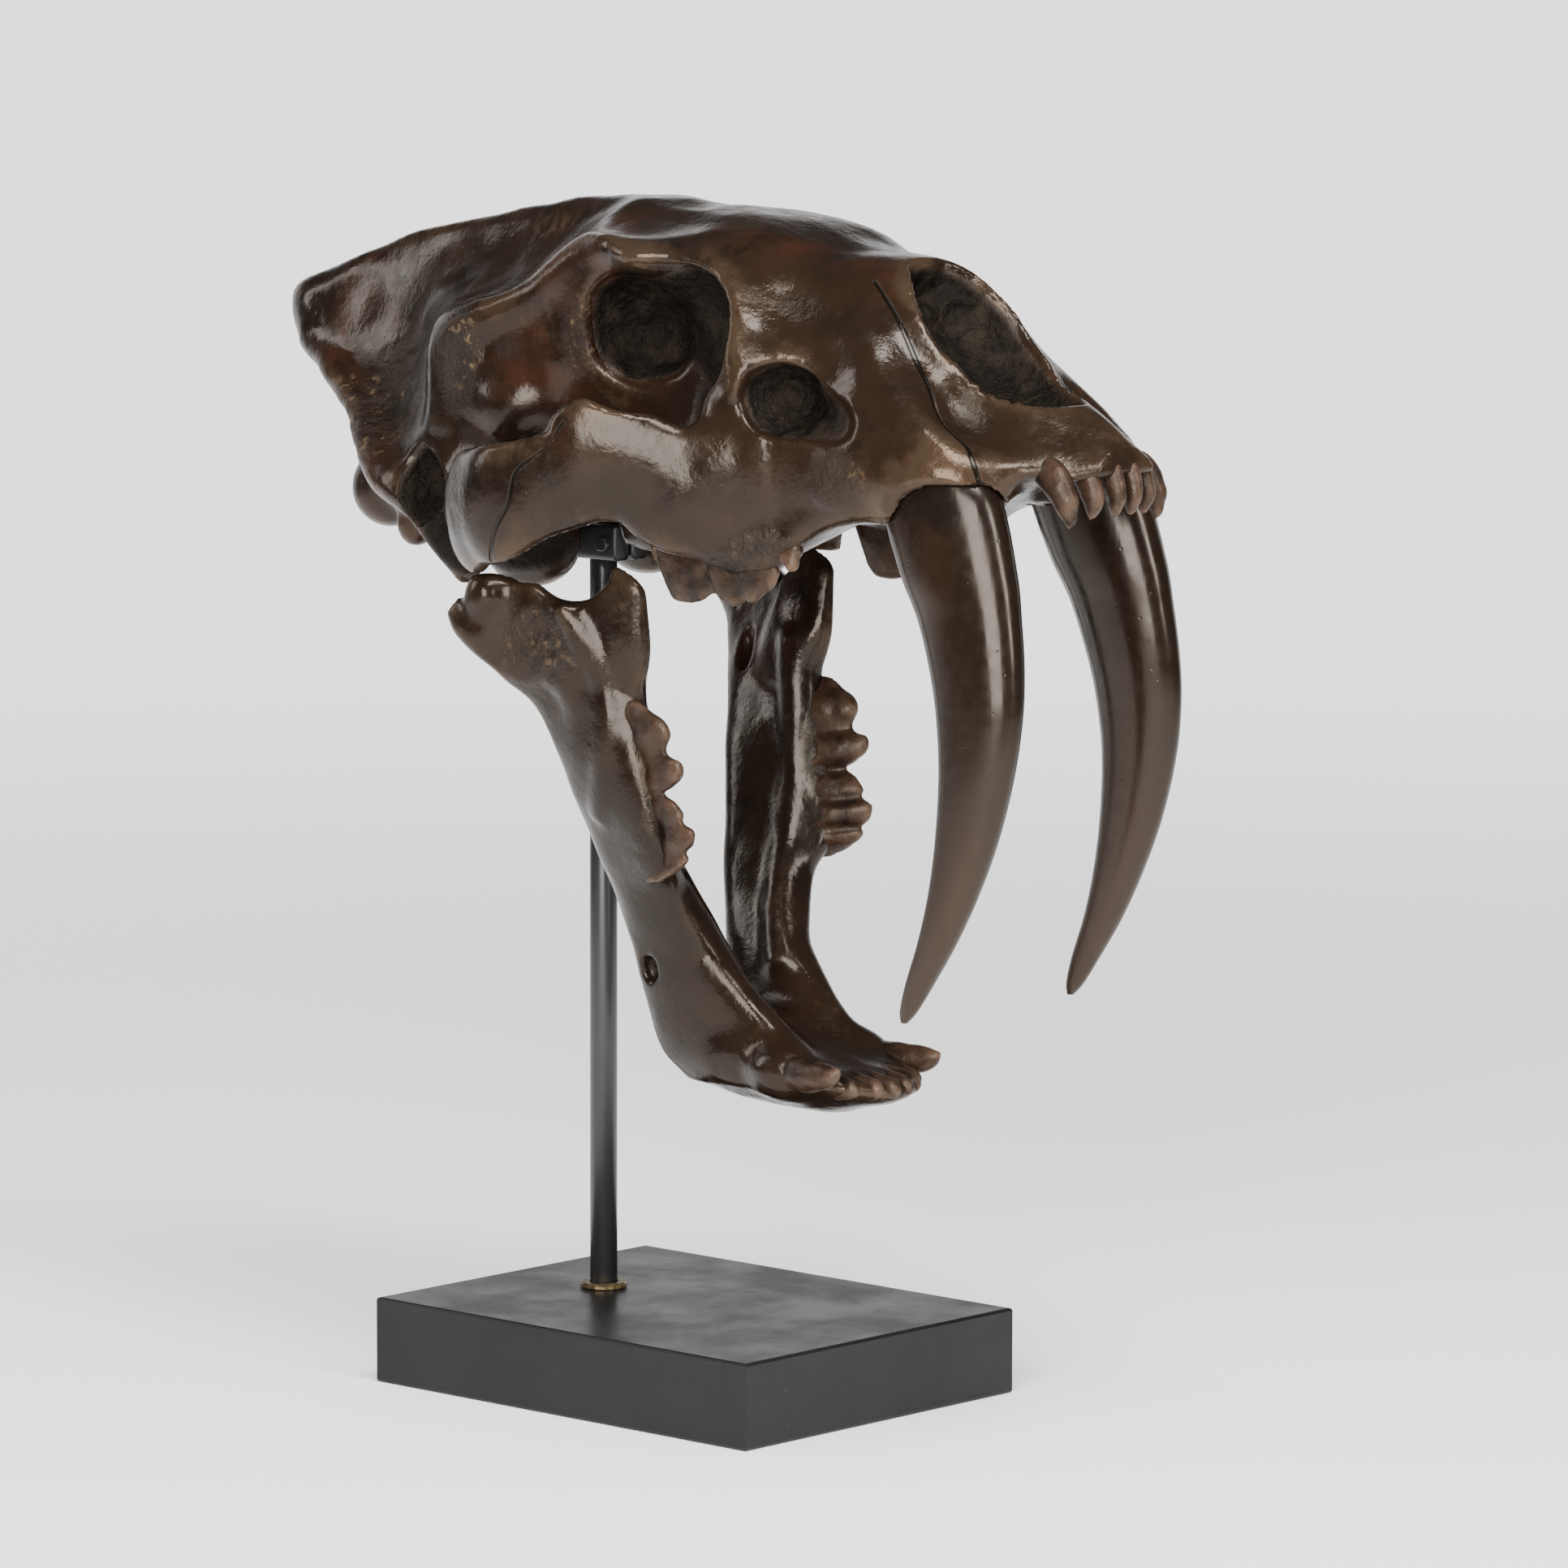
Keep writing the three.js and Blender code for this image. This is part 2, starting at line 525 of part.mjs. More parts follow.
// The clamp on top of the rod, with the peg that carries the skull; grow widens it, to cut its place in the skull
function clamp(grow = 0) {
  const { length, width, bottom, height, pegRadius, pegTop } = CLAMP;
  const block = new THREE.BoxGeometry(length + 2 * grow, width + 2 * grow, height + 2 * grow);
  const body = join(
    solid(block.translate(ROD.x, 0, bottom + height / 2)),
    upright(pegRadius + grow, bottom + height - 1, pegTop + grow, ROD.x, 12),
  );
  return grow ? body : cut(body, upright(ROD.radius + GAP, bottom - 1, ROD.top + GAP));
}

// A solid as a named mesh of the model
function piece(name, body, material) {
  const mesh = body.getMesh();
  const g = new THREE.BufferGeometry();
  g.setAttribute("position", new THREE.BufferAttribute(new Float32Array(mesh.vertProperties), 3));
  g.setIndex(new THREE.BufferAttribute(new Uint32Array(mesh.triVerts), 1));
  const flat = g.toNonIndexed();
  flat.computeVertexNormals();
  const made = new THREE.Mesh(flat, material);
  made.name = name;
  return made;
}

const skull = new THREE.Group();
skull.add(piece("base", base(), BLACK_PAINT));
skull.add(piece("rod", upright(ROD.radius, BASE.height - ROD.socketDepth + GAP, ROD.top), BLACK_STEEL));
skull.add(piece("washer", washer(), BRASS));
skull.add(piece("clamp", clamp(), BLACK_STEEL));
skull.add(piece("cranium", cranium(), BRONZE));
skull.add(piece("mandible", mandible(), BRONZE));
skull.add(piece("sabre_left", sabre(1), IVORY_BRONZE));
skull.add(piece("sabre_right", sabre(-1), IVORY_BRONZE));

export default skull;
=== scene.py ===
# Sabre-toothed cat skull, a dark bronze cast with its mouth wide open, on a rod over a black block
import math

import bpy
import numpy as np
import openvdb as vdb
from mathutils import Matrix, Vector


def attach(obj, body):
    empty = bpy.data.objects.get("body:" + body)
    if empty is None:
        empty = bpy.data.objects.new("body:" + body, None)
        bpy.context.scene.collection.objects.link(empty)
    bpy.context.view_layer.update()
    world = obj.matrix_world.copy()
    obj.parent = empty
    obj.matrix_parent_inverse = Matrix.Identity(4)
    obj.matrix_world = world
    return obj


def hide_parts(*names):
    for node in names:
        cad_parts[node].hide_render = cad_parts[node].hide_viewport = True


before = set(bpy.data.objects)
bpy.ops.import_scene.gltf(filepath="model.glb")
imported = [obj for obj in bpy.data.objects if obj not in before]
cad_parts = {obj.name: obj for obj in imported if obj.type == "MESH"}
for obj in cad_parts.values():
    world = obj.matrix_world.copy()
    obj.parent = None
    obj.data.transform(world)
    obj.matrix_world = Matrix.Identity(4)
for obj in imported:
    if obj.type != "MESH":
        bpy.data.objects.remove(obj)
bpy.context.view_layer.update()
mm = 0.001  # tables are in millimetres, as the frame's source is

# how finely the bone is worked out, in millimetres per cell
detail = {"cranium": 1.4, "mandible": 1.0, "teeth": 0.7, "band": 11}
# what the patina and painted shade attributes look at: depths and the reach of the hollow blur in
# millimetres, the reach of the edge blur in cells, the difference that counts as a full edge, how steeply a
# place falls off
wearAndShade = {"depth": 8, "cells": 3, "edge": 1.5, "hollow": 9, "cut": 20, "slope": 1.3}


# Catmull-Rom: each column of the rows goes through its own smooth curve; closed joins the last row to
# the first
def smoothRows(rows, count, closed=False):
    rows = np.asarray(rows, float)
    n = len(rows)
    if closed:
        t = np.arange(count) / count * n
    else:
        t = np.linspace(0, n - 1, count)
    k = np.minimum(t.astype(int), n - 1 if closed else n - 2)
    f = (t - k).reshape((-1,) + (1,) * (rows.ndim - 1))
    pick = (lambda i: rows[i % n]) if closed else (lambda i: rows[np.clip(i, 0, n - 1)])
    a, b, c, d = pick(k - 1), pick(k), pick(k + 1), pick(k + 2)
    return b + 0.5 * f * (c - a + f * (2 * a - 5 * b + 4 * c - d + f * (3 * (b - c) + d - a)))


# closed skin over rings of points (rings, around, 3), each end closed to the middle of its ring
def skin(rings):
    count, around = rings.shape[:2]
    points = np.concatenate([rings.reshape(-1, 3), rings[:1].mean(1), rings[-1:].mean(1)])
    r, i = np.meshgrid(np.arange(count - 1), np.arange(around), indexing="ij")
    j = (i + 1) % around
    quads = np.stack([r * around + i, r * around + j, (r + 1) * around + j, (r + 1) * around + i], -1)
    i = np.arange(around)
    j = (i + 1) % around
    last = (count - 1) * around
    first = np.stack([np.full(around, len(points) - 2), j, i], -1)
    final = np.stack([np.full(around, len(points) - 1), last + i, last + j], -1)
    return points, quads.reshape(-1, 4), np.concatenate([first, final])


# vectors over their own lengths
def unit(v):
    return v / np.maximum(np.linalg.norm(v, axis=-1, keepdims=True), 1e-9)


# bar along a path of rows [x, y, z, half width, half height]: at each step an ellipse stands across the path,
# its height in the direction out gives; power under 2 rounds it, over 2 squares it
def bar(rows, out=(0, 0, 1), steps=80, around=40, power=2.0):
    rows = smoothRows(rows, steps)
    path, size = rows[:, :3], rows[:, 3:5]
    along = unit(np.gradient(path, axis=0))
    direction = out(path) if callable(out) else np.broadcast_to(np.asarray(out, float), path.shape)
    across = unit(np.cross(direction, along))
    up = np.cross(along, across)
    turn = np.linspace(0, 2 * math.pi, around, endpoint=False)
    c, s = np.cos(turn), np.sin(turn)
    c, s = np.sign(c) * abs(c) ** (2 / power), np.sign(s) * abs(s) ** (2 / power)
    return (
        path[:, None]
        + across[:, None] * size[:, None, :1] * c[None, :, None]
        + up[:, None] * size[:, None, 1:] * s[None, :, None]
    )


# flat form between a root line and an edge line, rows [root x y z, edge x y z, half thickness]: at each
# row a squared oval from root to edge, whose thickness across Y loses the share taper towards the edge
def sheet(rows, steps=160, around=64, taper=0.0):
    rows = smoothRows(rows, steps)
    turn = np.linspace(0, 2 * math.pi, around, endpoint=False)
    squared = lambda v: np.sign(v) * abs(v) ** 0.8
    t = 0.5 + 0.5 * squared(np.cos(turn))
    root, edge = rows[:, None, 0:3], rows[:, None, 3:6]
    rings = root + (edge - root) * t[None, :, None]
    rings[..., 1] += rows[:, 6:7] * squared(np.sin(turn)) * (1 - taper * t)
    return rings


# a box of cells in which forms are joined and cut as distances to their surfaces, for the left half only
class BoneField:
    def __init__(self, low, high, cell):
        self.low, self.cell = np.array(low, float), cell
        self.shape = tuple(int(v) + 1 for v in np.ceil((np.array(high) - self.low) / cell))
        self.value = np.full(self.shape, detail["band"], np.float32)
        self.axes = [self.low[a] + cell * np.arange(self.shape[a]) for a in range(3)]
        self.grid = np.meshgrid(*self.axes, indexing="ij", sparse=True)

    # signed distance to a closed skin, negative inside
    def surface(self, rings):
        points, quads, tris = skin(rings)
        local = ((points - self.low) / self.cell).astype(np.float32)
        level = vdb.FloatGrid.createLevelSetFromPolygons(
            local, tris.astype(np.uint32), quads.astype(np.uint32), halfWidth=detail["band"] / self.cell
        )
        out = np.zeros(self.shape, np.float32)
        level.copyToArray(out)
        return out * self.cell

    # ellipsoid tilted about Y: with p the place over the radii, |p| (|p| - 1) / |p over the radii|
    def ball(self, at, radii, tilt=0.0):
        x, y, z = (self.grid[a] - at[a] for a in range(3))
        c, s = math.cos(tilt), math.sin(tilt)
        x, z = x * c - z * s, x * s + z * c
        k0 = np.sqrt((x / radii[0]) ** 2 + (y / radii[1]) ** 2 + (z / radii[2]) ** 2)
        k1 = np.sqrt((x / radii[0] ** 2) ** 2 + (y / radii[1] ** 2) ** 2 + (z / radii[2] ** 2) ** 2)
        return k0 * (k0 - 1) / np.maximum(k1, 1e-6)

    # union, with a fillet of the given radius where the two meet
    def join(self, other, fillet=0.0):
        self.value = blend(self.value, other, fillet)

    # the other form taken away, with the rim rounded by the given radius
    def carve(self, other, rim=0.0):
        self.value = -blend(-self.value, other, rim)

    # smooth random values over the cells, one wave per given length in millimetres
    def cloud(self, length, seed):
        count = [max(4, int(n * self.cell / length) + 2) for n in self.shape]
        values = np.random.default_rng(seed).normal(size=count)
        for axis in range(3):
            values = np.swapaxes(smoothRows(np.swapaxes(values, 0, axis), self.shape[axis]), 0, axis)
        return values.astype(np.float32)

    # mean of an array over a box of cells, three times over, so close to a round blur
    def blurred(self, array, reach):
        for _ in range(3):
            for axis in range(3):
                a = np.swapaxes(array, 0, axis)
                mirror = a[reach:0:-1] if axis == 1 else np.repeat(a[:1], reach, 0)
                padded = np.concatenate([mirror, a, np.repeat(a[-1:], reach, 0)])
                total = np.cumsum(np.concatenate([np.zeros_like(padded[:1]), padded]), 0, dtype=np.float64)
                mean = (total[2 * reach + 1:] - total[: -2 * reach - 1]) / (2 * reach + 1)
                array = np.swapaxes(mean.astype(np.float32), 0, axis)
        return array

    # how far each point stands out (over 0) or lies in (under 0): blurred distance less distance, and how
    # deep it is among other bone: the share of bone in a blur round it
    def wornAndShaded(self, points):
        near = np.clip(self.value, -wearAndShade["depth"], wearAndShade["depth"])
        edge = self.sample(self.blurred(near, wearAndShade["cells"]) - near, points) / wearAndShade["edge"]
        filled = (self.value < 0).astype(np.float32)
        hollow = self.sample(self.blurred(filled, int(wearAndShade["hollow"] / self.cell)), points)
        return edge, hollow

    # 1 in each place, a middle with radii, falling to 0 at its edge: slope (1 - |place over the radii|^2)
    def near(self, places):
        total = np.zeros(self.shape, np.float32)
        for at, radii in places:
            x, y, z = ((self.grid[a] - at[a]) / radii[a] for a in range(3))
            total = np.maximum(total, np.clip(wearAndShade["slope"] * (1 - (x * x + y * y + z * z)), 0, 1))
        return total

    # the bone as a piece of the scene, with what its patina and painted shade need at each point: edge and
    # hollow, how deep it lies below the form given as whole (sunk further at painted shade places), the rough
    # places and the distance to the nearest seam
    def finish(self, name, whole, places, lines, replaced=None):
        points, quads = self.mesh()
        obj = meshObject(name, points, quads)
        edge, hollow = self.wornAndShaded(points)
        attribute(obj, "edge", edge)
        attribute(obj, "hollow", hollow)
        # depth below the whole form, in which the painted shade places are sunk, so it also carries painted
        # shade
        attribute(obj, "cut", np.clip(-self.sample(whole, points), 0, wearAndShade["cut"]))
        attribute(obj, "scar", self.sample(self.near(places), points))
        if lines:
            side, near = seamSides(obj, points, lines)
            attribute(obj, "seamSide", side)
            attribute(obj, "seamNear", near)
        obj.data.materials.append(material("bronze_patina", bronze))
        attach(obj, "root")
        if replaced:
            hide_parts(replaced)
        print(name, len(points), "points", len(quads) * 2, "triangles")
        return obj

    # the whole bone, mirrored about y = 0, as points and quads
    def mesh(self):
        whole = np.concatenate([self.value[:, :0:-1], self.value], axis=1)
        grid = vdb.FloatGrid(detail["band"])
        grid.copyFromArray(np.ascontiguousarray(np.clip(whole, -detail["band"], detail["band"])))
        points, quads = grid.convertToQuads(0)
        low = self.low.copy()
        low[1] = -self.cell * (self.shape[1] - 1)
        return points * self.cell + low, quads

    # the value of any array of the field at points, both sides read from the left half
    def sample(self, array, points):
        p = points.copy()
        p[:, 1] = abs(p[:, 1])
        t = (p - self.low) / self.cell
        k = np.clip(t.astype(int), 0, np.array(self.shape) - 2)
        f = t - k
        total = 0
        for dx in (0, 1):
            for dy in (0, 1):
                for dz in (0, 1):
                    w = abs(1 - dx - f[:, 0]) * abs(1 - dy - f[:, 1]) * abs(1 - dz - f[:, 2])
                    total = total + w * array[k[:, 0] + dx, k[:, 1] + dy, k[:, 2] + dz]
        return total


# smooth minimum of two distances: where they are closer than r apart, a parabola joins them
def blend(a, b, r):
    if r <= 0:
        return np.minimum(a, b)
    h = np.clip(0.5 + 0.5 * (b - a) / r, 0, 1)
    return b + (a - b) * h - r * h * (1 - h)


def meshObject(name, points, faces, smooth=True):
    mesh = bpy.data.meshes.new(name)
    faces = np.asarray(faces)
    sides = faces.shape[1]
    mesh.vertices.add(len(points))
    mesh.vertices.foreach_set("co", (points * mm).astype(np.float32).ravel())
    mesh.loops.add(faces.size)
    mesh.loops.foreach_set("vertex_index", faces.astype(np.int32).ravel())
    mesh.polygons.add(len(faces))
    mesh.polygons.foreach_set("loop_start", np.arange(0, faces.size, sides, dtype=np.int32))
    mesh.update(calc_edges=True)
    mesh.validate()
    mesh.polygons.foreach_set("use_smooth", np.full(len(mesh.polygons), smooth))
    obj = bpy.data.objects.new(name, mesh)
    bpy.context.scene.collection.objects.link(obj)
    return obj


# several closed skins as one object, faces turned outwards
def skinsObject(name, skins):
    points, faces, start = [], [], 0
    for rings in skins:
        p, quads, tris = skin(rings)
        a, b, c, d = quads.T
        flat = np.concatenate([np.stack([a, b, c], -1), np.stack([a, c, d], -1), tris])
        v = p[flat]
        if np.einsum("ij,ij->i", v[:, 0], np.cross(v[:, 1], v[:, 2])).sum() < 0:
            flat = flat[:, ::-1]
        points.append(p)
        faces.append(flat + start)
        start += len(p)
    return meshObject(name, np.concatenate(points), np.concatenate(faces))


def attribute(obj, name, values):
    obj.data.attributes.new(name, "FLOAT", "POINT").data.foreach_set("value", values.astype(np.float32))


# for each point the distance to the nearest seam, over 0 on one side of it and under 0 on the other:
# side = offset . (direction of the seam x normal of the skin), and near, 1 on the seam and 0 at its reach
def seamSides(obj, points, lines):
    normals = np.zeros(len(points) * 3, np.float32)
    obj.data.vertex_normals.foreach_get("vector", normals)
    flip = np.where(points[:, 1:2] < 0, [[1, -1, 1]], [[1, 1, 1]])
    p, normals = points * flip, normals.reshape(-1, 3) * flip
    best, side = np.full(len(p), 1e3), np.full(len(p), 1e3)
    for rows in lines:
        rows = smoothRows(rows, seamSteps)
        for a, b in zip(rows[:-1], rows[1:]):
            t = np.clip((p - a) @ (b - a) / ((b - a) @ (b - a)), 0, 1)
            offset = p - a - t[:, None] * (b - a)
            distance = np.linalg.norm(offset, axis=1)
            across = np.cross(unit(b - a), normals)
            nearer = distance < best
            best[nearer] = distance[nearer]
            side[nearer] = np.einsum("ij,ij->i", offset, across)[nearer]
    return np.clip(side, -seamReach, seamReach), np.clip(1 - best / seamReach, 0, 1)


# camera: where the photograph was taken from, in degrees and millimetres, and its lens
camera = {
    "azimuth": 42.38, "elevation": 7.52, "roll": 0.13, "distance": 2535.8, "right": 26.25, "up": 175.2,
    "lens": 200.4, "sensor": 36, "near": 0.1, "far": 60,
}


# back = (sin az cos el, -cos az cos el, sin el); right and up stand across it and turn by the roll
def makeCamera():
    az, el, roll = (math.radians(camera[k]) for k in ("azimuth", "elevation", "roll"))
    back = np.array([math.sin(az) * math.cos(el), -math.cos(az) * math.cos(el), math.sin(el)])
    flat = np.array([math.cos(az), math.sin(az), 0.0])
    upright = np.cross(back, flat)
    right = flat * math.cos(roll) + upright * math.sin(roll)
    up = upright * math.cos(roll) - flat * math.sin(roll)
    place = (camera["right"] * right + camera["up"] * up + camera["distance"] * back) * mm
    data = bpy.data.cameras.new("camera")
    data.sensor_width, data.lens = camera["sensor"], camera["lens"]
    data.clip_start, data.clip_end = camera["near"], camera["far"]
    obj = bpy.data.objects.new("camera", data)
    turn = Matrix(np.stack([right, up, back], 1).tolist()).to_4x4()
    obj.matrix_world = Matrix.Translation(Vector(place)) @ turn
    bpy.context.scene.collection.objects.link(obj)
    bpy.context.scene.camera = obj


# cranium sections, back to front: x, then half an outline [y, z] from the top, down the side, to the palate
craniumSections = [
    [-160, [[0, 311.5], [1, 311.5], [2, 311], [2.6, 310.3], [3, 309.5], [3, 308.5], [3, 307.5],
      [3, 306.5], [2.8, 305.5], [2.4, 304.7], [2, 304], [1.4, 303.6], [0.8, 303.4], [0, 303.3]]],
    [-155, [[0, 315], [3, 315], [5, 314.2], [7, 312.5], [8, 310.5], [8.5, 308], [8.5, 305], [8, 302],
      [7, 299.5], [6, 297.5], [5, 296], [4, 295], [2, 294.5], [0, 294.3]]],
    [-148, [[0, 317.2], [4, 317.2], [7, 316], [10, 313.5], [11.5, 310.5], [12, 307], [12, 303.5],
      [11.5, 300], [10.5, 297], [9, 294.5], [7, 292.5], [5, 291], [2.5, 290.5], [0, 290.2]]],
    [-140, [[0, 320], [4, 319.5], [8, 317], [10.5, 313.5], [12, 309.5], [13, 305], [13, 301], [13, 297],
      [12.5, 293.5], [10.5, 290.5], [8, 288], [5.5, 286], [2.5, 285], [0, 284.5]]],
    [-125, [[0, 325.5], [4, 324.5], [7, 320], [9, 314], [11, 308], [13, 302], [15, 296], [18, 290],
      [20.5, 286.5], [19, 283], [15, 279], [10, 274], [5, 271], [0, 270]]],
    [-110, [[0, 331], [4, 329], [7, 323], [9, 316], [11, 308], [14, 300], [18, 292], [23, 285],
      [29.5, 280], [28, 274], [24, 266], [18, 257], [10, 250], [0, 248]]],
    [-92, [[0, 334.8], [4, 333], [7, 327], [11, 319], [15, 310], [19, 300], [24, 289], [31, 277],
      [41, 268.5], [41, 263], [34, 256], [25, 251], [13, 248], [0, 247]]],
    [-75, [[0, 338.3], [4.5, 336], [8, 329], [15, 320], [24, 313], [30, 306], [34, 294], [38, 279],
      [46, 264], [46, 258], [38, 253], [27, 250], [14, 249], [0, 249]]],
    [-64, [[0, 340.5], [5, 338], [10, 329], [20, 319], [34, 313], [41, 308], [42, 295], [42, 280],
      [46, 264], [46, 256], [38, 252], [27, 250], [14, 250], [0, 250]]],
    [-50, [[0, 342.6], [5, 340.5], [11, 332], [22, 322], [34, 316.5], [41, 312.5], [42.5, 298], [41, 282],
      [42, 266], [42, 256], [35, 253], [25, 252], [13, 251], [0, 251]]],
    [-35, [[0, 344.7], [5.5, 343], [12, 336], [22, 327], [31, 321], [37.5, 317.5], [38.5, 302], [37, 286],
      [34, 272], [30, 263], [24, 257], [17, 254], [9, 253], [0, 253]]],
    [-15, [[0, 345.4], [8, 345], [17, 342], [26, 337.5], [33, 333], [37.5, 328.5], [38.5, 316],
      [37.5, 301], [34, 286], [28, 272], [21, 263], [15, 258], [8, 256], [0, 256]]],
    [3, [[0, 344.6], [12, 343.6], [24, 341.4], [34, 339.2], [42, 336.8], [43.5, 332], [41, 322],
      [37, 309], [33, 296], [29, 282], [24, 268], [18, 260], [10, 258], [0, 258]]],
    [18, [[0, 343.8], [12, 342.8], [24, 340.4], [35, 337.4], [46, 334.2], [46.5, 330], [36, 323],
      [30, 314], [27, 300], [27, 286], [29, 272], [26, 261], [13, 259], [0, 260]]],
    [33, [[0, 343], [12, 342.4], [22, 340], [31, 336.6], [40, 332.4], [38, 327], [33, 321], [30, 312],
      [28, 300], [29, 286], [36, 272], [43, 262], [42, 250], [0, 260]]],
    [50, [[0, 340], [12, 339.5], [22, 337], [32, 332], [40, 326], [44.5, 318], [46, 310], [47.5, 302],
      [50, 293], [52, 282], [50, 266], [46, 249], [33, 250], [0, 262]]],
    [65, [[0, 335], [11, 334.5], [20, 332], [29, 327.5], [37, 321], [43, 313], [46, 305], [48, 297],
      [49.5, 288], [49, 277], [47.5, 263], [45, 247], [31, 250], [0, 264]]],
    [80, [[0, 333], [9, 332.8], [17, 329.5], [25, 324], [33, 316.5], [39, 309], [42.5, 302], [45, 295],
      [46.5, 287], [46.5, 277], [45, 266], [43, 255], [28, 256], [0, 266]]],
    [92, [[0, 331], [9, 330.5], [16, 327.5], [23, 320.5], [30, 312], [36, 304], [40, 297], [43.5, 290],
      [45.5, 283], [46, 275], [44.5, 267], [41, 261], [25, 262], [0, 268]]],
    [104, [[0, 323], [9, 323], [16, 320.6], [20.5, 316.5], [26, 308.6], [32, 301], [37, 293.5], [41, 287],
      [44, 281], [45.5, 275], [44, 269], [39, 263.5], [24, 264], [0, 268]]],
    [116, [[0, 310], [9, 310], [15, 308.2], [19.5, 304.5], [24, 299.2], [29, 293.5], [34, 288.5],
      [38.5, 283.5], [42, 279], [43.5, 274.5], [42, 270], [37, 265.5], [22, 265], [0, 267]]],
    [127, [[0, 302.5], [7, 302], [12, 301.2], [17, 298], [20, 294.5], [25, 290], [30, 286], [34.5, 282.5],
      [38, 279], [39.5, 275.5], [38, 271.5], [33, 268], [20, 267], [0, 267]]],
    [137, [[0, 297.5], [5, 297.3], [9, 296.3], [12, 294.5], [16, 291.5], [20, 288], [24, 284.8],
      [28, 282], [31, 279.5], [32, 277], [31, 274.5], [27, 272.5], [16, 271], [0, 271]]],
    [147, [[0, 294], [4, 293.6], [8, 291.4], [11, 289.2], [14, 287], [17, 284.7], [19.5, 282.7],
      [21.5, 280.8], [23, 279.3], [23.5, 278], [22.5, 277], [19, 275.5], [11, 274.5], [0, 274.5]]],
    [156, [[0, 289.8], [3.5, 289], [7, 286.8], [10, 284.3], [12.5, 282], [14.5, 280], [16, 278.6],
      [17, 277.6], [17, 276.8], [16.5, 276.2], [15, 275.8], [12, 275.6], [7, 275.5], [0, 275.5]]],
    [162, [[0, 285], [2.5, 284.8], [5, 284], [7, 282.8], [9, 281.4], [10.3, 280.2], [11, 279.2],
      [11.3, 278.4], [11, 277.7], [10.2, 277.2], [9, 276.8], [7, 276.6], [4, 276.5], [0, 276.5]]],
]


# the main skin of the cranium, brain case to palate: smooth along the sections, then around each ring
def craniumSkin(steps=420, around=240):
    rows = []
    for x, half in craniumSections:
        ring = half + [[-y, z] for y, z in half[-2:0:-1]]
        rows.append([[x, y, z] for y, z in ring])
    rows = smoothRows(np.array(rows, float), steps)
    return np.swapaxes(smoothRows(np.swapaxes(rows, 0, 1), around, closed=True), 0, 1)


# bars of the cranium: rows [x, y, z, half width, half height], or [x, y, z] for ridges of even radius
cheekArch = [
    [66, 41, 268, 7, 21], [54, 49, 267, 7, 19], [44, 56, 269.5, 6.5, 18], [36, 62, 274.5, 6, 16],
    [28, 68, 277, 5.5, 18.5], [20, 72, 272, 5.5, 15], [8, 77, 267.5, 5.5, 15], [-5, 77.5, 263, 6, 16.5],
    [-18, 71, 260, 6.5, 17], [-30, 60.5, 256.5, 7.5, 16.5], [-41, 47, 257, 8.5, 15],
    [-48, 33, 260, 9, 14],
]
archLean = 0.15  # the arch stands further out at its top edge than at its bottom edge
templeRidge = [
    [6, 39, 335], [-8, 36.5, 332], [-20, 36, 325], [-28, 36, 319], [-41, 39, 312.5], [-50, 40, 309.3],
    [-57.5, 40, 303.5], [-60, 40, 294], [-61, 40, 280],
]
neckCrest = [
    [-148, 4, 297, 4, 6], [-128, 13, 290, 4, 7], [-106.5, 24, 280, 4, 7], [-88, 36, 268, 4.5, 7],
    [-77, 40, 262, 5, 7], [-66, 43, 256, 5.5, 7], [-56, 45, 249, 5.5, 6.5], [-48, 47, 243, 5, 5.5],
    [-42, 49.5, 237, 3.5, 3.5],
]
sabreSocket = [
    [125, 30, 261, 9.5, 18], [119, 31.5, 273, 12, 17], [109, 31.5, 283, 11.5, 15],
    [98, 31, 293, 10, 12.5], [90, 29, 304, 8, 10], [82, 26, 315, 5.5, 7],
]
eyeFrontRidge = [[36, 35, 329], [46, 38.6, 325], [53, 42.2, 317], [59, 45.2, 307], [63, 47, 297]]
palateWing = [[24, 36, 256, 7, 13], [8, 20, 256, 3.5, 11], [-12, 16, 254, 3, 8]]
noseOpening = [
    [88, 0, 329, 8, 8], [96, 0, 325.5, 14, 13], [104, 0, 318.5, 18.3, 16], [112, 0, 310, 18.5, 15],
    [118.5, 0, 304.8, 17.5, 13], [124.5, 0, 300.8, 16, 11], [130, 0, 298, 14, 9], [136, 0, 296, 11, 7],
    [141, 0, 295, 7, 4.5], [144, 0, 294.8, 2, 2],
]
# hollows: middle, radii, tilt, how round the rim is and how rough the inside
hollows = {
    "browDish": ([8, 34, 352.5], [44, 26, 15.5], 0, 2, 0),
    "faceValley": ([78, 44, 329], [20, 18.5, 16], 0.4, 6, 0),
    "frontDish": ([132, 28, 300], [16, 12, 14], 0.5, 5, 0),
    "faceDish": ([87, 50, 308], [14, 12, 11], 0.6, 5, 0),
    "gumArch": ([138, 47, 262], [27, 12, 15], 0, 2.5, 0.1),
    "ear": ([-64, 47, 262], [7, 12, 12], -0.4, 2, 0.5),
    "neckHole": ([-124, 0, 258], [14, 8, 7], 0, 2, 0.2),
    "throat": ([12, 0, 256], [24, 12, 12], 0, 4, 0.4),
}
# deep openings, each two hollows that flow into one another: middle, radii, tilt, then how far they flow,
# rim and roughness
openings = {
    "eye": ([([35.5, 57, 311.5], [22.5, 31, 22], 0.1), ([12, 46, 308], [20, 26, 19], 0)], 9, 1.2, 0.4),
    "face": ([([88, 52, 292.5], [17, 13, 10.5], 0.3), ([75, 47, 295], [12.5, 15, 10.5], 0.2)], 6, 1.2, 0.35),
}
# heights of the roughness and lengths of its waves; inside a hollow it starts at a depth from and is full
# over so much more
roughness = {"bone": 0.34, "boneWave": 11, "fineWave": 3.2, "nose": 0.55, "from": 0.8, "over": 4, "scar": 0.3}
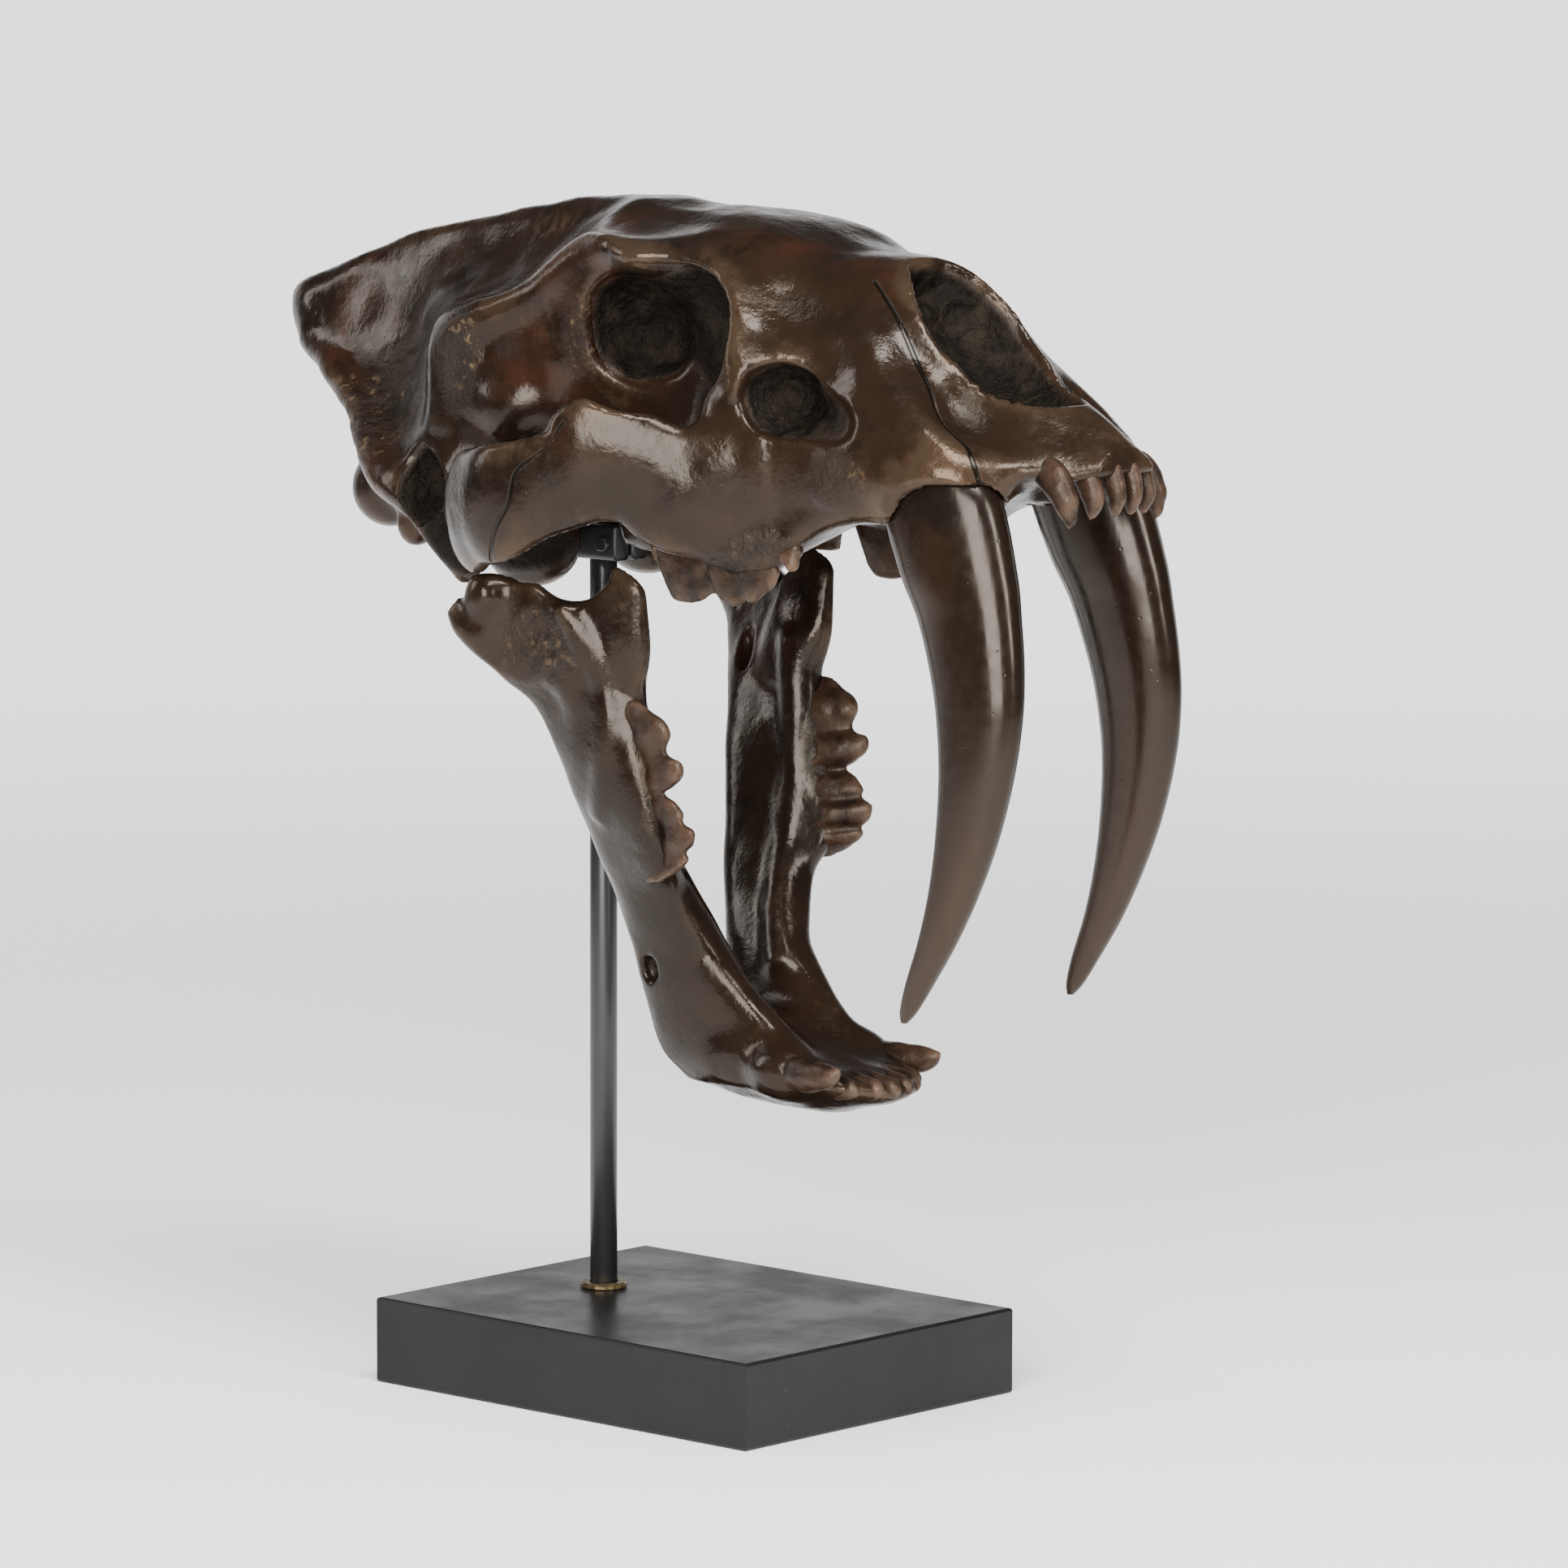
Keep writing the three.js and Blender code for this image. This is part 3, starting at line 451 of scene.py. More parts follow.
# swellings: middle, radii, fillet
baseKnobs = {
    "neckJoint": ([-109, 14, 256], [12, 10.5, 11.5], 4),
    "earDrum": ([-42, 24, 246], [17, 10, 13.5], 4),
    "behindEar": ([-82, 30, 249], [6, 6, 7], 4),
    "templeSwell": ([-40, 33.5, 287], [15, 10.6, 12], 6),
}
brainMiddle = np.array([-75.0, 0, 275])
ridgeRadius = {"temple": 3, "eyeFront": 3.4, "muscle": 2.4, "inner": 2.6}
noseRim = 1
jointRoll = [[-30.5, 42.5, 233.5, 2, 2], [-30.5, 44, 233.5, 4.4, 4.4], [-30, 51, 233.5, 5, 5],
             [-29.5, 58, 233.5, 4.4, 4.4], [-29.5, 60, 233.5, 2, 2]]
jointGap = 0.6
# rough places of the cranium: middle and radii
scars = [
    ([-9, 40, 305], [8, 7, 17]), ([-20, 72, 264], [16, 14, 14]),
    ([70, 46, 252], [15, 10, 7]), ([54, 46, 250], [24, 8, 5]), ([-52, 44, 300], [9, 9, 20]),
    ([-96, 30, 285], [30, 20, 26]), ([96, 44, 274], [12, 9, 10]),
]
# lines where two bones meet: down the muzzle to the sabre's socket, and across the cheek arch
seams = [
    [[88, 20, 326], [96, 22, 319], [103, 24.5, 312], [111, 27, 304], [119, 29, 297], [127, 31, 288],
     [137, 34, 277]],
    [[22, 80, 287], [17, 83, 280], [9, 84, 273], [6, 83, 264], [0, 80, 257], [-4, 79, 249]],
]
# places that lie in shade though no hollow was cut there
shades = [([32, 33, 311], [25, 13, 21]), ([-40, 40, 248], [30, 30, 14]), ([-64, 46, 262], [10, 11, 13])]
seamReach = 5
seamSteps = 24
shadeDepth = 6


# [x, y, z] rows of a ridge given one radius
def even(rows, radius):
    return [row + [radius, radius] for row in rows]


def makeCranium():
    bone = BoneField([-166, 0, 226], [172, 92, 352], detail["cranium"])
    bone.join(bone.surface(craniumSkin()))
    upright = (0, 0, 1)
    bars = [
        (cheekArch, (0, archLean, 1), 7),
        (even(templeRidge, ridgeRadius["temple"]), upright, 7),
        (neckCrest, lambda p: p - brainMiddle, 5),
        (sabreSocket, (1, 0, 0.6), 8),
        (palateWing, upright, 4),
        (even(eyeFrontRidge, ridgeRadius["eyeFront"]), upright, 8),
    ]
    for rows, out, fillet in bars:
        bone.join(bone.surface(bar(rows, out)), fillet)
    for at, radii, fillet in baseKnobs.values():
        bone.join(bone.ball(at, radii), fillet)
    fine = bone.cloud(roughness["fineWave"], 5) + 0.5 * bone.cloud(roughness["fineWave"] / 2, 6)
    bone.value = bone.value + roughness["bone"] * bone.cloud(roughness["boneWave"], 4)
    inside = np.clip((-bone.value - roughness["from"]) / roughness["over"], 0, 1)
    whole = bone.value.copy()
    for at, radii, tilt, rim, rough in hollows.values():
        bone.carve(bone.ball(at, radii, tilt) + rough * fine * inside, rim)
    for parts, flow, rim, rough in openings.values():
        first, second = (bone.ball(*part) for part in parts)
        bone.carve(blend(first, second, flow) + rough * fine * inside, rim)
    bone.carve(bone.surface(bar(noseOpening)) + roughness["nose"] * fine * inside, noseRim)
    bone.carve(bone.surface(bar(jointRoll)) - jointGap)
    bone.carve(bone.surface(sabreSkin(1)) - gumGap["width"], gumGap["rim"])
    bone.value = bone.value + roughness["scar"] * fine * bone.near(scars)
    # the shade places are sunk into the whole form, so the patina paints painted shade there
    bone.finish("cranium_bone", whole - shadeDepth * bone.near(shades), scars, seams, "cranium")


# the flat branch of the jaw: rear edge, front edge, half thickness
jawBranch = [
    [-34, 55, 237.5, 14, 38.8, 236, 2.5], [-37, 56, 227, 15, 38.3, 225, 3.5],
    [-35, 54.5, 219, 14, 36.5, 217, 5], [-29.5, 48, 210, 13, 36, 209, 6],
    [-23.5, 41.5, 200.5, 14, 37.5, 201, 6.5], [-18, 35, 186, 17.5, 38, 187, 7],
    [-14, 30.2, 171, 21, 37, 173, 7.2], [-11, 26.7, 159.4, 23, 33.5, 160, 7.3],
    [-7.5, 23.4, 147.7, 20.8, 26.5, 150, 7.3], [-4, 20, 133.7, 26, 18.3, 134.5, 7.3],
    [-2, 18.5, 124.4, 32.5, 15.5, 126, 7.3], [-0.5, 16.1, 112.6, 44, 13.5, 115, 7.2],
    [2.5, 14, 101, 57, 12.5, 105, 7], [10, 11.5, 94.5, 67, 12, 100.5, 6.5],
]
# the chin: outline [x, z], then steps to the side: y, shares of the outline's length and height
chinOutline = [
    [9, 94], [20, 90], [38, 88], [52, 87.5], [66, 89.5], [77, 92.5], [81, 96], [76, 100], [62, 104],
    [46, 109], [32, 114.5], [18, 112], [9, 103],
]
chinSteps = [[0, 1, 1], [8, 0.97, 0.87], [15, 0.8, 0.6], [19, 0.5, 0.35]]
chinMiddle = [44, 100]
coronoid = [
    [3, 38, 204, 3, 9], [5, 38.5, 215, 3.3, 11.5], [7.5, 39, 226, 3.6, 10.5], [9, 39.5, 234, 3.3, 9.5],
    [10.3, 40, 239, 2.6, 8], [11.2, 40, 241.6, 1.3, 5],
]
jawAngle = [[-26, 53, 222, 4.5, 8], [-36, 55.5, 226, 4, 6], [-41, 56.5, 230, 2.5, 3]]
muscleRidge = [[-6, 49.5, 231], [1, 45.5, 221], [5, 42.5, 209], [6, 42.5, 198], [4, 40.5, 184], [0, 37, 172]]
canineCollar = ([50, 16.5, 101], [10, 7.5, 7.5], 5)
innerRidge = [[7, 35.5, 216], [10, 32.5, 190], [12, 29.5, 167], [17, 18, 144], [24, 11, 126]]
jawHollows = {
    "notch": ([-5, 45, 241], [11, 14, 8], 0, 3),
    "muscleHollow": ([-12, 62.5, 216], [17, 13, 21], 0.25, 4),
    "chinHole": ([5.5, 25.5, 126], [3.2, 6, 4], 0.2, 1),
    "rearHollow": ([-20, 50, 192], [12, 8, 17], 0.5, 5),
    "nerveHole": ([-17, 37.5, 214], [3.6, 6, 9], -0.25, 1.2),
    "frontHollow": ([60, 0, 116], [22, 11, 9], 0.45, 4),
}
jawScars = [([-12, 54, 217], [15, 12, 17]), ([16, 36, 178], [7, 6, 24])]


# point = middle of the chin + outline times its shares at that step
def chinSkin(steps=60, around=120):
    outline = smoothRows(chinOutline, around, closed=True) - chinMiddle
    rows = [[-y, a, b] for y, a, b in chinSteps[:0:-1]] + chinSteps
    y, long, high = smoothRows(rows, steps).T
    rings = np.zeros((steps, around, 3))
    rings[..., 0] = chinMiddle[0] + outline[:, 0] * long[:, None]
    rings[..., 1] = y[:, None]
    rings[..., 2] = chinMiddle[1] + outline[:, 1] * high[:, None]
    return rings


def makeMandible():
    bone = BoneField([-48, 0, 80], [90, 76, 250], detail["mandible"])
    bone.join(bone.surface(sheet(jawBranch)))
    bone.join(bone.surface(chinSkin()), 6)
    upright = (0, 0, 1)
    bars = [
        (coronoid, (1, 0, 0), 6), (jawAngle, upright, 3), (jointRoll, upright, 6),
        (even(muscleRidge, ridgeRadius["muscle"]), upright, 5),
    ]
    for rows, out, fillet in bars:
        bone.join(bone.surface(bar(rows, out)), fillet)
    at, radii, fillet = canineCollar
    bone.join(bone.ball(at, radii), fillet)
    bone.join(bone.surface(bar(even(innerRidge, ridgeRadius["inner"]))), 6)
    bone.value = bone.value + roughness["bone"] * bone.cloud(roughness["boneWave"], 8)
    fine = bone.cloud(roughness["fineWave"], 9)
    whole = bone.value.copy()
    for at, radii, tilt, rim in jawHollows.values():
        bone.carve(bone.ball(at, radii, tilt), rim)
    bone.value = bone.value + roughness["scar"] * fine * bone.near(jawScars)
    bone.finish("mandible_bone", whole, jawScars, [], "mandible")


# sabre, root to tip: height z, middle x, middle y, half length fore and aft, half thickness
sabreRows = [
    [282, 117, 30, 15, 9], [270, 121, 30.5, 20.3, 11], [250, 128.2, 31.6, 19.8, 10.6],
    [237, 133.1, 32.3, 17.4, 9.5], [224, 136.4, 33, 15.8, 8.8], [211, 138.2, 33.8, 14.3, 8.1],
    [195, 138, 34.6, 12.4, 7.3], [177, 135, 35, 10.3, 6.3], [161, 130.3, 35.2, 8.1, 5.3],
    [147, 124.6, 35.4, 6.2, 4.3], [135, 118.3, 35.4, 4.5, 3.2], [127, 114.3, 35.4, 2.8, 2.1],
    [123.5, 112.6, 35.4, 1, 0.8],
]
gumGap = {"width": 0.5, "rim": 1.2}


# the sabre: level ovals along its curve
def sabreSkin(side, steps=220, around=72):
    z, x, y, fore, thick = smoothRows(sabreRows, steps).T
    turn = np.linspace(0, 2 * math.pi, around, endpoint=False)
    rings = np.zeros((steps, around, 3))
    rings[..., 0] = x[:, None] + fore[:, None] * np.cos(turn)
    rings[..., 1] = side * y[:, None] + thick[:, None] * np.sin(turn)
    rings[..., 2] = z[:, None]
    return rings


def makeSabres():
    for name, side in (("left", 1), ("right", -1)):
        obj = skinsObject("sabre_%s_tooth" % name, [sabreSkin(side)])
        height = np.zeros(len(obj.data.vertices) * 3, np.float32)
        obj.data.vertices.foreach_get("co", height)
        attribute(obj, "height", height.reshape(-1, 3)[:, 2] / mm)
        obj.data.materials.append(material("sabre_patina", sabreBronze))
        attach(obj, "root")
        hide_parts("sabre_" + name)
    print("sabres made")


# upper front teeth, from the middle outwards: rows [x, y, z, half width, half depth] from root to tip
upperIncisors = [
    [[153, 3.6, 280, 2.3, 3.4], [158.5, 3.6, 277.5, 2.7, 3.9], [161, 3.5, 272, 2.5, 3.4],
     [160.6, 3.3, 267.5, 1.4, 1.8], [160, 3.2, 265.3, 0.4, 0.5]],
    [[150, 10, 280, 2.4, 3.4], [155.5, 10.8, 277.5, 2.9, 4.1], [159, 11, 271.5, 2.7, 3.5],
     [158.8, 11, 267, 1.5, 1.9], [158.2, 11, 264.8, 0.4, 0.5]],
    [[144, 16, 279, 2.8, 4], [150.5, 18.2, 277, 3.7, 4.8], [155.5, 18.7, 271.5, 3.4, 4.2],
     [157, 18.4, 266, 2, 2.4], [156.5, 18, 263, 0.5, 0.6]],
]
# cutting edge of the upper cheek teeth, back to front: x, height, half thickness; the roots stand behind it
upperCheekEdge = [
    [29, 243, 2.2], [31.5, 237, 4.2], [36, 235.6, 5.2], [42, 236, 4.6], [46, 238.4, 3.1],
    [48.5, 238.6, 3.1], [51, 236.6, 4.5], [55, 235.8, 4.9], [58, 237, 3.2], [60, 237.6, 3.2],
    [62.5, 237.2, 4.4], [66, 239.8, 4.6], [69.5, 242.4, 3.4], [72, 246, 2],
]
upperCheek = {"y": 42.5, "root": 259, "lean": 7, "taper": 0.45}
# cutting edges of the lower cheek teeth, top to bottom: height, x of the edge, half thickness
lowerCheekEdge = [
    [206, 16, 1.5], [203, 20.5, 3.6], [200.5, 25.5, 4.6], [197, 27, 4.8], [193, 26.2, 3.4],
    [191, 26.6, 3.1], [189, 31.2, 4.2], [185.5, 31.4, 4.6], [182, 27.5, 4], [179.8, 24, 2.6],
    [177.5, 28, 3.8], [174.5, 30.8, 4.2], [172, 30.8, 3.1], [170, 34.8, 4.2], [166.5, 34.2, 4.4],
    [163.5, 31.4, 3.2], [161.5, 32.2, 3.6], [158, 28, 3.4], [154, 21, 2],
]
lowerCheek = {
    "top": 206, "edgeTop": 40.5, "edgeFall": 0.075, "rootTop": 38, "rootFall": 0.14, "depth": 15, "drop": 2,
    "taper": 0.5,
}
lowerCanine = [
    [50, 16, 100.5, 4.6, 5], [57, 18.5, 101, 4.7, 5.2], [66, 20.3, 101.4, 4.1, 4.5],
    [72.5, 21, 102.6, 2.8, 2.9], [76, 21.2, 104.2, 0.8, 0.8],
]
# tips of the lower front teeth, and the rows of one: x from the tip, share of y, z from the tip, half
# width, half depth
lowerIncisors = [[82, 2.8, 97.4], [80, 8, 97.6], [75.5, 13.2, 97.9]]
lowerIncisor = [[-18, 0.9, 1, 2.3, 4], [-8, 1, 0, 2.4, 3.8], [-2, 1, 0, 2.1, 2.8], [0, 1, 0.3, 0.8, 1]]
toothRoots = {"count": 7, "from": [69, 41, 248.5], "to": [77, 43.5, 254], "radius": [1.4, 2.6], "seed": 21}
toothNoise = 0.16
toothSteps = {"steps": 40, "around": 32}
toothFillets = {"tooth": 0.5, "lowerIncisor": 0.4, "root": 0.8}


def upperTeeth():
    teeth = BoneField([14, 0, 230], [168, 56, 292], detail["teeth"])
    for rows in upperIncisors:
        teeth.join(teeth.surface(bar(rows, out=(1, 0, 0.8), **toothSteps)), toothFillets["tooth"])
    u = upperCheek
    rows = [[x - u["lean"], u["y"] - 0.5, u["root"], x, u["y"], z, half] for x, z, half in upperCheekEdge]
    teeth.join(teeth.surface(sheet(rows, taper=u["taper"])), toothFillets["tooth"])
    r = toothRoots
    draw = np.random.default_rng(r["seed"])
    for _ in range(r["count"]):
        at, radius = draw.uniform(r["from"], r["to"]), draw.uniform(*r["radius"])
        teeth.join(teeth.ball(at, [radius, radius * 0.9, radius * 1.2]), toothFillets["root"])
    return teeth


def lowerTeeth():
    teeth = BoneField([0, 0, 84], [92, 56, 212], detail["teeth"])
    c = lowerCheek
    rows = []
    for z, x, half in lowerCheekEdge:
        fall = c["top"] - z
        root, edge = c["rootTop"] - fall * c["rootFall"], c["edgeTop"] - fall * c["edgeFall"]
        rows.append([x - c["depth"], root, z - c["drop"], x, edge, z, half])
    teeth.join(teeth.surface(sheet(rows, taper=c["taper"])), toothFillets["tooth"])
    teeth.join(teeth.surface(bar(lowerCanine, **toothSteps)), toothFillets["tooth"])
    for x, y, z in lowerIncisors:
        rows = [[x + back, y * share, z + rise, wide, deep] for back, share, rise, wide, deep in lowerIncisor]
        teeth.join(teeth.surface(bar(rows, **toothSteps)), toothFillets["lowerIncisor"])
    return teeth


def makeTeeth():
    for name, teeth, seed in (("upper_teeth", upperTeeth(), 31), ("lower_teeth", lowerTeeth(), 32)):
        teeth.value = teeth.value + toothNoise * teeth.cloud(roughness["fineWave"], seed)
        obj = teeth.finish(name, teeth.value, [], [])
        obj.data.materials.clear()
        obj.data.materials.append(material("tooth_patina", toothBronze))
    print("teeth made")


# rod and clamp of the stand
rodPlace = {"x": -36, "radius": 4, "bottom": 11.3, "top": 246, "chamfer": 0.3}
clampPlace = {"x": -36, "half": 10.8, "middle": 244.75, "tall": 5.05, "slit": 0.7, "thick": 6.1, "screw": 7.2}
# a clamp jaw: places along it as shares of its half length, and how much its edges are drawn in there
clampEnds = [(-1, 1), (-0.97, 0.3), (-0.9, 0), (0, 0), (0.9, 0), (0.97, 0.3), (1, 1)]
clampSquareness = 7
# screws: head [how far it stands out, radius] and the shank's radius
screwHead = [[2.2, 1.9], [1.9, 2.4], [-0.2, 2.4]]
screwShank = 1.5


# a profile [radius, height] turned about an upright axis
def turned(profile, x, around=96):
    r, z = np.array(profile, float).T
    turn = np.linspace(0, 2 * math.pi, around, endpoint=False)
    rings = np.zeros((len(r), around, 3))
    rings[..., 0] = x + r[:, None] * np.cos(turn)
    rings[..., 1] = r[:, None] * np.sin(turn)
    rings[..., 2] = z[:, None]
    return rings


# clamp at the top of the rod: two rounded jaws with a slit between, drawn together by two screws
def clampSkins():
    c = clampPlace
    skins = []
    for side in (1, -1):
        y = side * (c["slit"] + c["thick"] / 2)
        size = (c["thick"] / 2, c["tall"])
        ends = [[c["x"] + e * c["half"], y, c["middle"], size[0] - r, size[1] - r] for e, r in clampEnds]
        skins.append(bar(ends, steps=40, around=48, power=clampSquareness))
    for side in (1, -1):
        x, z, face = c["x"] + side * c["screw"], c["middle"], c["slit"] + c["thick"]
        head = [[x, -face - out, z, radius, radius] for out, radius in screwHead]
        shank = [[x, y, z, screwShank, screwShank] for y in (-face, 0, face)]
        skins += [bar(head, steps=8, around=6), bar(shank, steps=6, around=24)]
    return skins


def makeStand():
    r, low, high, chamfer = (rodPlace[k] for k in ("radius", "bottom", "top", "chamfer"))
    profile = [[r - chamfer, low], [r, low + chamfer], [r, high - chamfer], [r - chamfer, high]]
    rod = skinsObject("stand_rod", [turned(profile, rodPlace["x"])])
    rod.data.materials.append(material("rod_paint", rodBlack))
    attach(rod, "root")
    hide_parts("rod")
    clamp = skinsObject("stand_clamp", clampSkins())
    clamp.data.materials.append(material("rod_paint", rodBlack))
    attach(clamp, "root")
    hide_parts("clamp")
    for node, name, fill in (("base", "block_paint", blockBlack), ("washer", "washer_metal", washerBrass)):
        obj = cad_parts[node]
        obj.data.materials.clear()
        obj.data.materials.append(material(name, fill))
    print("stand made")


# the hollows are painted as patina and painted shade in black and a dark brown mixed by noise
bronzeLook = {
    "black": (0.003, 0.0023, 0.0017), "dark": (0.0065, 0.004, 0.0026), "brown": (0.013, 0.0073, 0.0043),
    "red": (0.024, 0.0088, 0.0048), "rubbed": (0.05, 0.031, 0.0185), "gold": (0.16, 0.105, 0.058),
    "shadedPatinaBrown": (0.0125, 0.009, 0.006), "roughness": 0.19, "rubbedMetal": 0.5, "coat": 0.06,
    "coatRoughness": 0.1, "shine": 0.22, "tint": (1.0, 0.86, 0.72),
}
toothLook = {
    "dark": (0.0065, 0.004, 0.0029), "warm": (0.024, 0.0125, 0.0078), "rubbed": (0.08, 0.048, 0.03),
    "roughness": 0.33, "shine": 0.24,
}
sabreLook = {
    "gum": (0.006, 0.004, 0.0028), "root": (0.0075, 0.0046, 0.0029), "tip": (0.0185, 0.0112, 0.0075),
    "streak": (0.0125, 0.0065, 0.0038), "gumFrom": 271, "gumTo": 262, "tipFrom": 232, "tipTo": 142,
    "shine": 0.26,
}


# small builders for material nodes
class Nodes:
    def __init__(self, tree):
        self.tree = tree
        self.shader = tree.nodes["Principled BSDF"]
        self.place = tree.nodes.new("ShaderNodeTexCoord").outputs["Object"]

    # a value or a node's output, given to an input of the shader
    def give(self, name, value):
        self.set(self.shader.inputs[name], value)

    def set(self, socket, value):
        if isinstance(value, bpy.types.NodeSocket):
            self.tree.links.new(value, socket)
        elif isinstance(value, tuple) and len(value) == 3 and socket.type == "RGBA":
            socket.default_value = (*value, 1)
        else:
            socket.default_value = value

    def noise(self, scale, detail=3, rough=0.5, stretch=None):
        n = self.tree.nodes.new("ShaderNodeTexNoise")
        place = self.place
        if stretch:
            turn = self.tree.nodes.new("ShaderNodeMapping")
            self.set(turn.inputs["Vector"], self.place)
            turn.inputs["Scale"].default_value = stretch
            place = turn.outputs["Vector"]
        self.set(n.inputs["Vector"], place)
        for name, value in (("Scale", scale), ("Detail", detail), ("Roughness", rough)):
            n.inputs[name].default_value = value
        return n.outputs["Fac"]

    def cells(self, scale):
        n = self.tree.nodes.new("ShaderNodeTexVoronoi")
        self.set(n.inputs["Vector"], self.place)
        n.inputs["Scale"].default_value = scale
        return n.outputs["Distance"]

    def own(self, name):
        n = self.tree.nodes.new("ShaderNodeAttribute")
        n.attribute_name = name
        return n.outputs["Fac"]

    def ramp(self, value, low, high, a=0.0, b=1.0):
        n = self.tree.nodes.new("ShaderNodeMapRange")
        n.interpolation_type = "SMOOTHSTEP"
        names = ("Value", "From Min", "From Max", "To Min", "To Max")
        for name, v in zip(names, (value, low, high, a, b)):
            self.set(n.inputs[name], v)
        return n.outputs["Result"]

    def math(self, kind, a, b=0.0):
        n = self.tree.nodes.new("ShaderNodeMath")
        n.operation = kind
        self.set(n.inputs[0], a)
        self.set(n.inputs[1], b)
        return n.outputs[0]

    def mix(self, share, a, b):
        n = self.tree.nodes.new("ShaderNodeMix")
        n.data_type = "RGBA"
        for socket, v in ((n.inputs[0], share), (n.inputs[6], a), (n.inputs[7], b)):
            self.set(socket, v)
        return n.outputs[2]

    def bump(self, height, strength, distance, before=None):
        n = self.tree.nodes.new("ShaderNodeBump")
        n.inputs["Strength"].default_value = strength
        n.inputs["Distance"].default_value = distance
        self.set(n.inputs["Height"], height)
        if before is not None:
            self.set(n.inputs["Normal"], before)
        return n.outputs["Normal"]


# the material of a name, filled by the function given when it is first asked for
def material(name, fill):
    made = bpy.data.materials.get(name)
    if made is None:
        made = bpy.data.materials.new(name)
        made.use_nodes = True
        fill(Nodes(made.node_tree))
    return made


# patina: brown-black with reddish clouds, thinner and metallic on edges, black and dull in the hollows as
# patina and painted shade (also at the shade places), grainy with gold specks on the muscle scars, a dark
# groove along the seams
def bronze(n):
    look = bronzeLook
    edge, hollow, scar = n.own("edge"), n.own("hollow"), n.own("scar")
    clouds = n.noise(16, 4, 0.6)
    colour = n.mix(n.ramp(n.noise(9, 4, 0.6), 0.4, 0.62), look["dark"], look["brown"])
    colour = n.mix(n.ramp(clouds, 0.52, 0.72), colour, look["red"])
    rub = n.math("MULTIPLY", n.ramp(edge, 0.4, 1.5), n.ramp(n.noise(60, 4, 0.6), 0.38, 0.66))
    colour = n.mix(rub, colour, look["rubbed"])
    speck = n.math("MULTIPLY", scar, n.ramp(n.noise(190, 3, 0.7), 0.56, 0.66))
    speck = n.math("MULTIPLY", speck, n.ramp(clouds, 0.42, 0.6))
    colour = n.mix(n.math("MULTIPLY", speck, 0.7), colour, look["gold"])
    thin = n.ramp(n.noise(22, 6, 0.72), 0.56, 0.7)
    thin = n.math("MULTIPLY", thin, n.ramp(n.noise(300, 4, 0.7), 0.42, 0.62))
    colour = n.mix(n.math("MULTIPLY", thin, 0.4), colour, look["rubbed"])
    stain = n.ramp(n.noise(34, 6, 0.7), 0.55, 0.7)
    colour = n.mix(n.math("MULTIPLY", stain, 0.75), colour, look["black"])
    pinholes = n.math("MULTIPLY", n.ramp(n.noise(620, 1, 0.5), 0.74, 0.8), n.ramp(n.noise(30, 3), 0.5, 0.6))
    colour = n.mix(pinholes, colour, look["black"])
    # deep: painted shade with the patina of the hollows, dark where much bone lies round a point, in concave
    # places, below the whole form and at the listed shade places
    deep = n.math("MAXIMUM", n.ramp(hollow, 0.56, 0.72), n.ramp(edge, -0.3, -1.0))
    deep = n.math("MAXIMUM", deep, n.ramp(n.own("cut"), 1.6, 5))
    groove = n.math("SUBTRACT", 1.0, n.ramp(n.math("ABSOLUTE", n.own("seamSide")), 0.25, 0.8))
    groove = n.math("MULTIPLY", groove, n.ramp(n.own("seamNear"), 0.2, 0.6))
    hollowPatinaAndShade = n.mix(n.ramp(n.noise(120, 5, 0.7), 0.45, 0.68), look["black"], look["shadedPatinaBrown"])
    colour = n.mix(deep, colour, hollowPatinaAndShade)
    colour = n.mix(groove, colour, look["black"])
    n.give("Base Color", colour)
    n.give("Metallic", n.math("MULTIPLY", n.math("MAXIMUM", rub, speck), look["rubbedMetal"]))
    dull = n.math("MAXIMUM", n.math("MULTIPLY", deep, 0.3), n.math("MULTIPLY", scar, 0.12))
    wave = n.ramp(n.noise(240, 3), 0.3, 0.7, look["roughness"] - 0.05, look["roughness"] + 0.07)
    smudge = n.ramp(n.noise(48, 6, 0.7), 0.42, 0.72, 0.0, 0.08)
    n.give("Roughness", n.math("ADD", n.math("ADD", wave, smudge), dull))
    clear = n.math("SUBTRACT", 1.0, deep)
    n.give("Coat Weight", n.math("MULTIPLY", clear, look["coat"]))
    n.give("Specular IOR Level", n.ramp(clear, 0.0, 1.0, 0.12, look["shine"]))
    n.give("Specular Tint", look["tint"])
    n.give("Coat Roughness", look["coatRoughness"])
    grain = n.bump(n.noise(700, 3, 0.6), 0.2, 0.0003)
    dents = n.bump(n.noise(46, 5, 0.6), 0.42, 0.002, grain)
    pits = n.bump(pinholes, 0.5, -0.0005, dents)
    rough = n.math("MULTIPLY", n.noise(330, 5, 0.65), n.math("MAXIMUM", n.math("MULTIPLY", deep, 1.3), scar))
    lumps = n.bump(rough, 0.9, 0.0016, pits)
    cracks = n.bump(groove, 0.8, -0.0008, lumps)
    n.give("Normal", cracks)


# cheek and front teeth: the same bronze, duller and warmer, worn pale on the cusps
def toothBronze(n):
    look = toothLook
    edge = n.own("edge")
    colour = n.mix(n.ramp(n.noise(90, 4, 0.6), 0.36, 0.6), look["dark"], look["warm"])
    rub = n.math("MULTIPLY", n.ramp(edge, 0.3, 1.6), n.ramp(n.noise(160, 3, 0.6), 0.35, 0.6))
    colour = n.mix(rub, colour, look["rubbed"])
    colour = n.mix(n.ramp(edge, -0.15, -0.8), colour, look["dark"])
    n.give("Base Color", colour)
    wave = n.ramp(n.noise(300, 3), 0.3, 0.7, look["roughness"] - 0.08, look["roughness"] + 0.1)
    n.give("Roughness", wave)
    n.give("Specular IOR Level", look["shine"])
    n.give("Specular Tint", bronzeLook["tint"])
    grain = n.bump(n.noise(420, 5, 0.65), 0.45, 0.0007)
    n.give("Normal", grain)


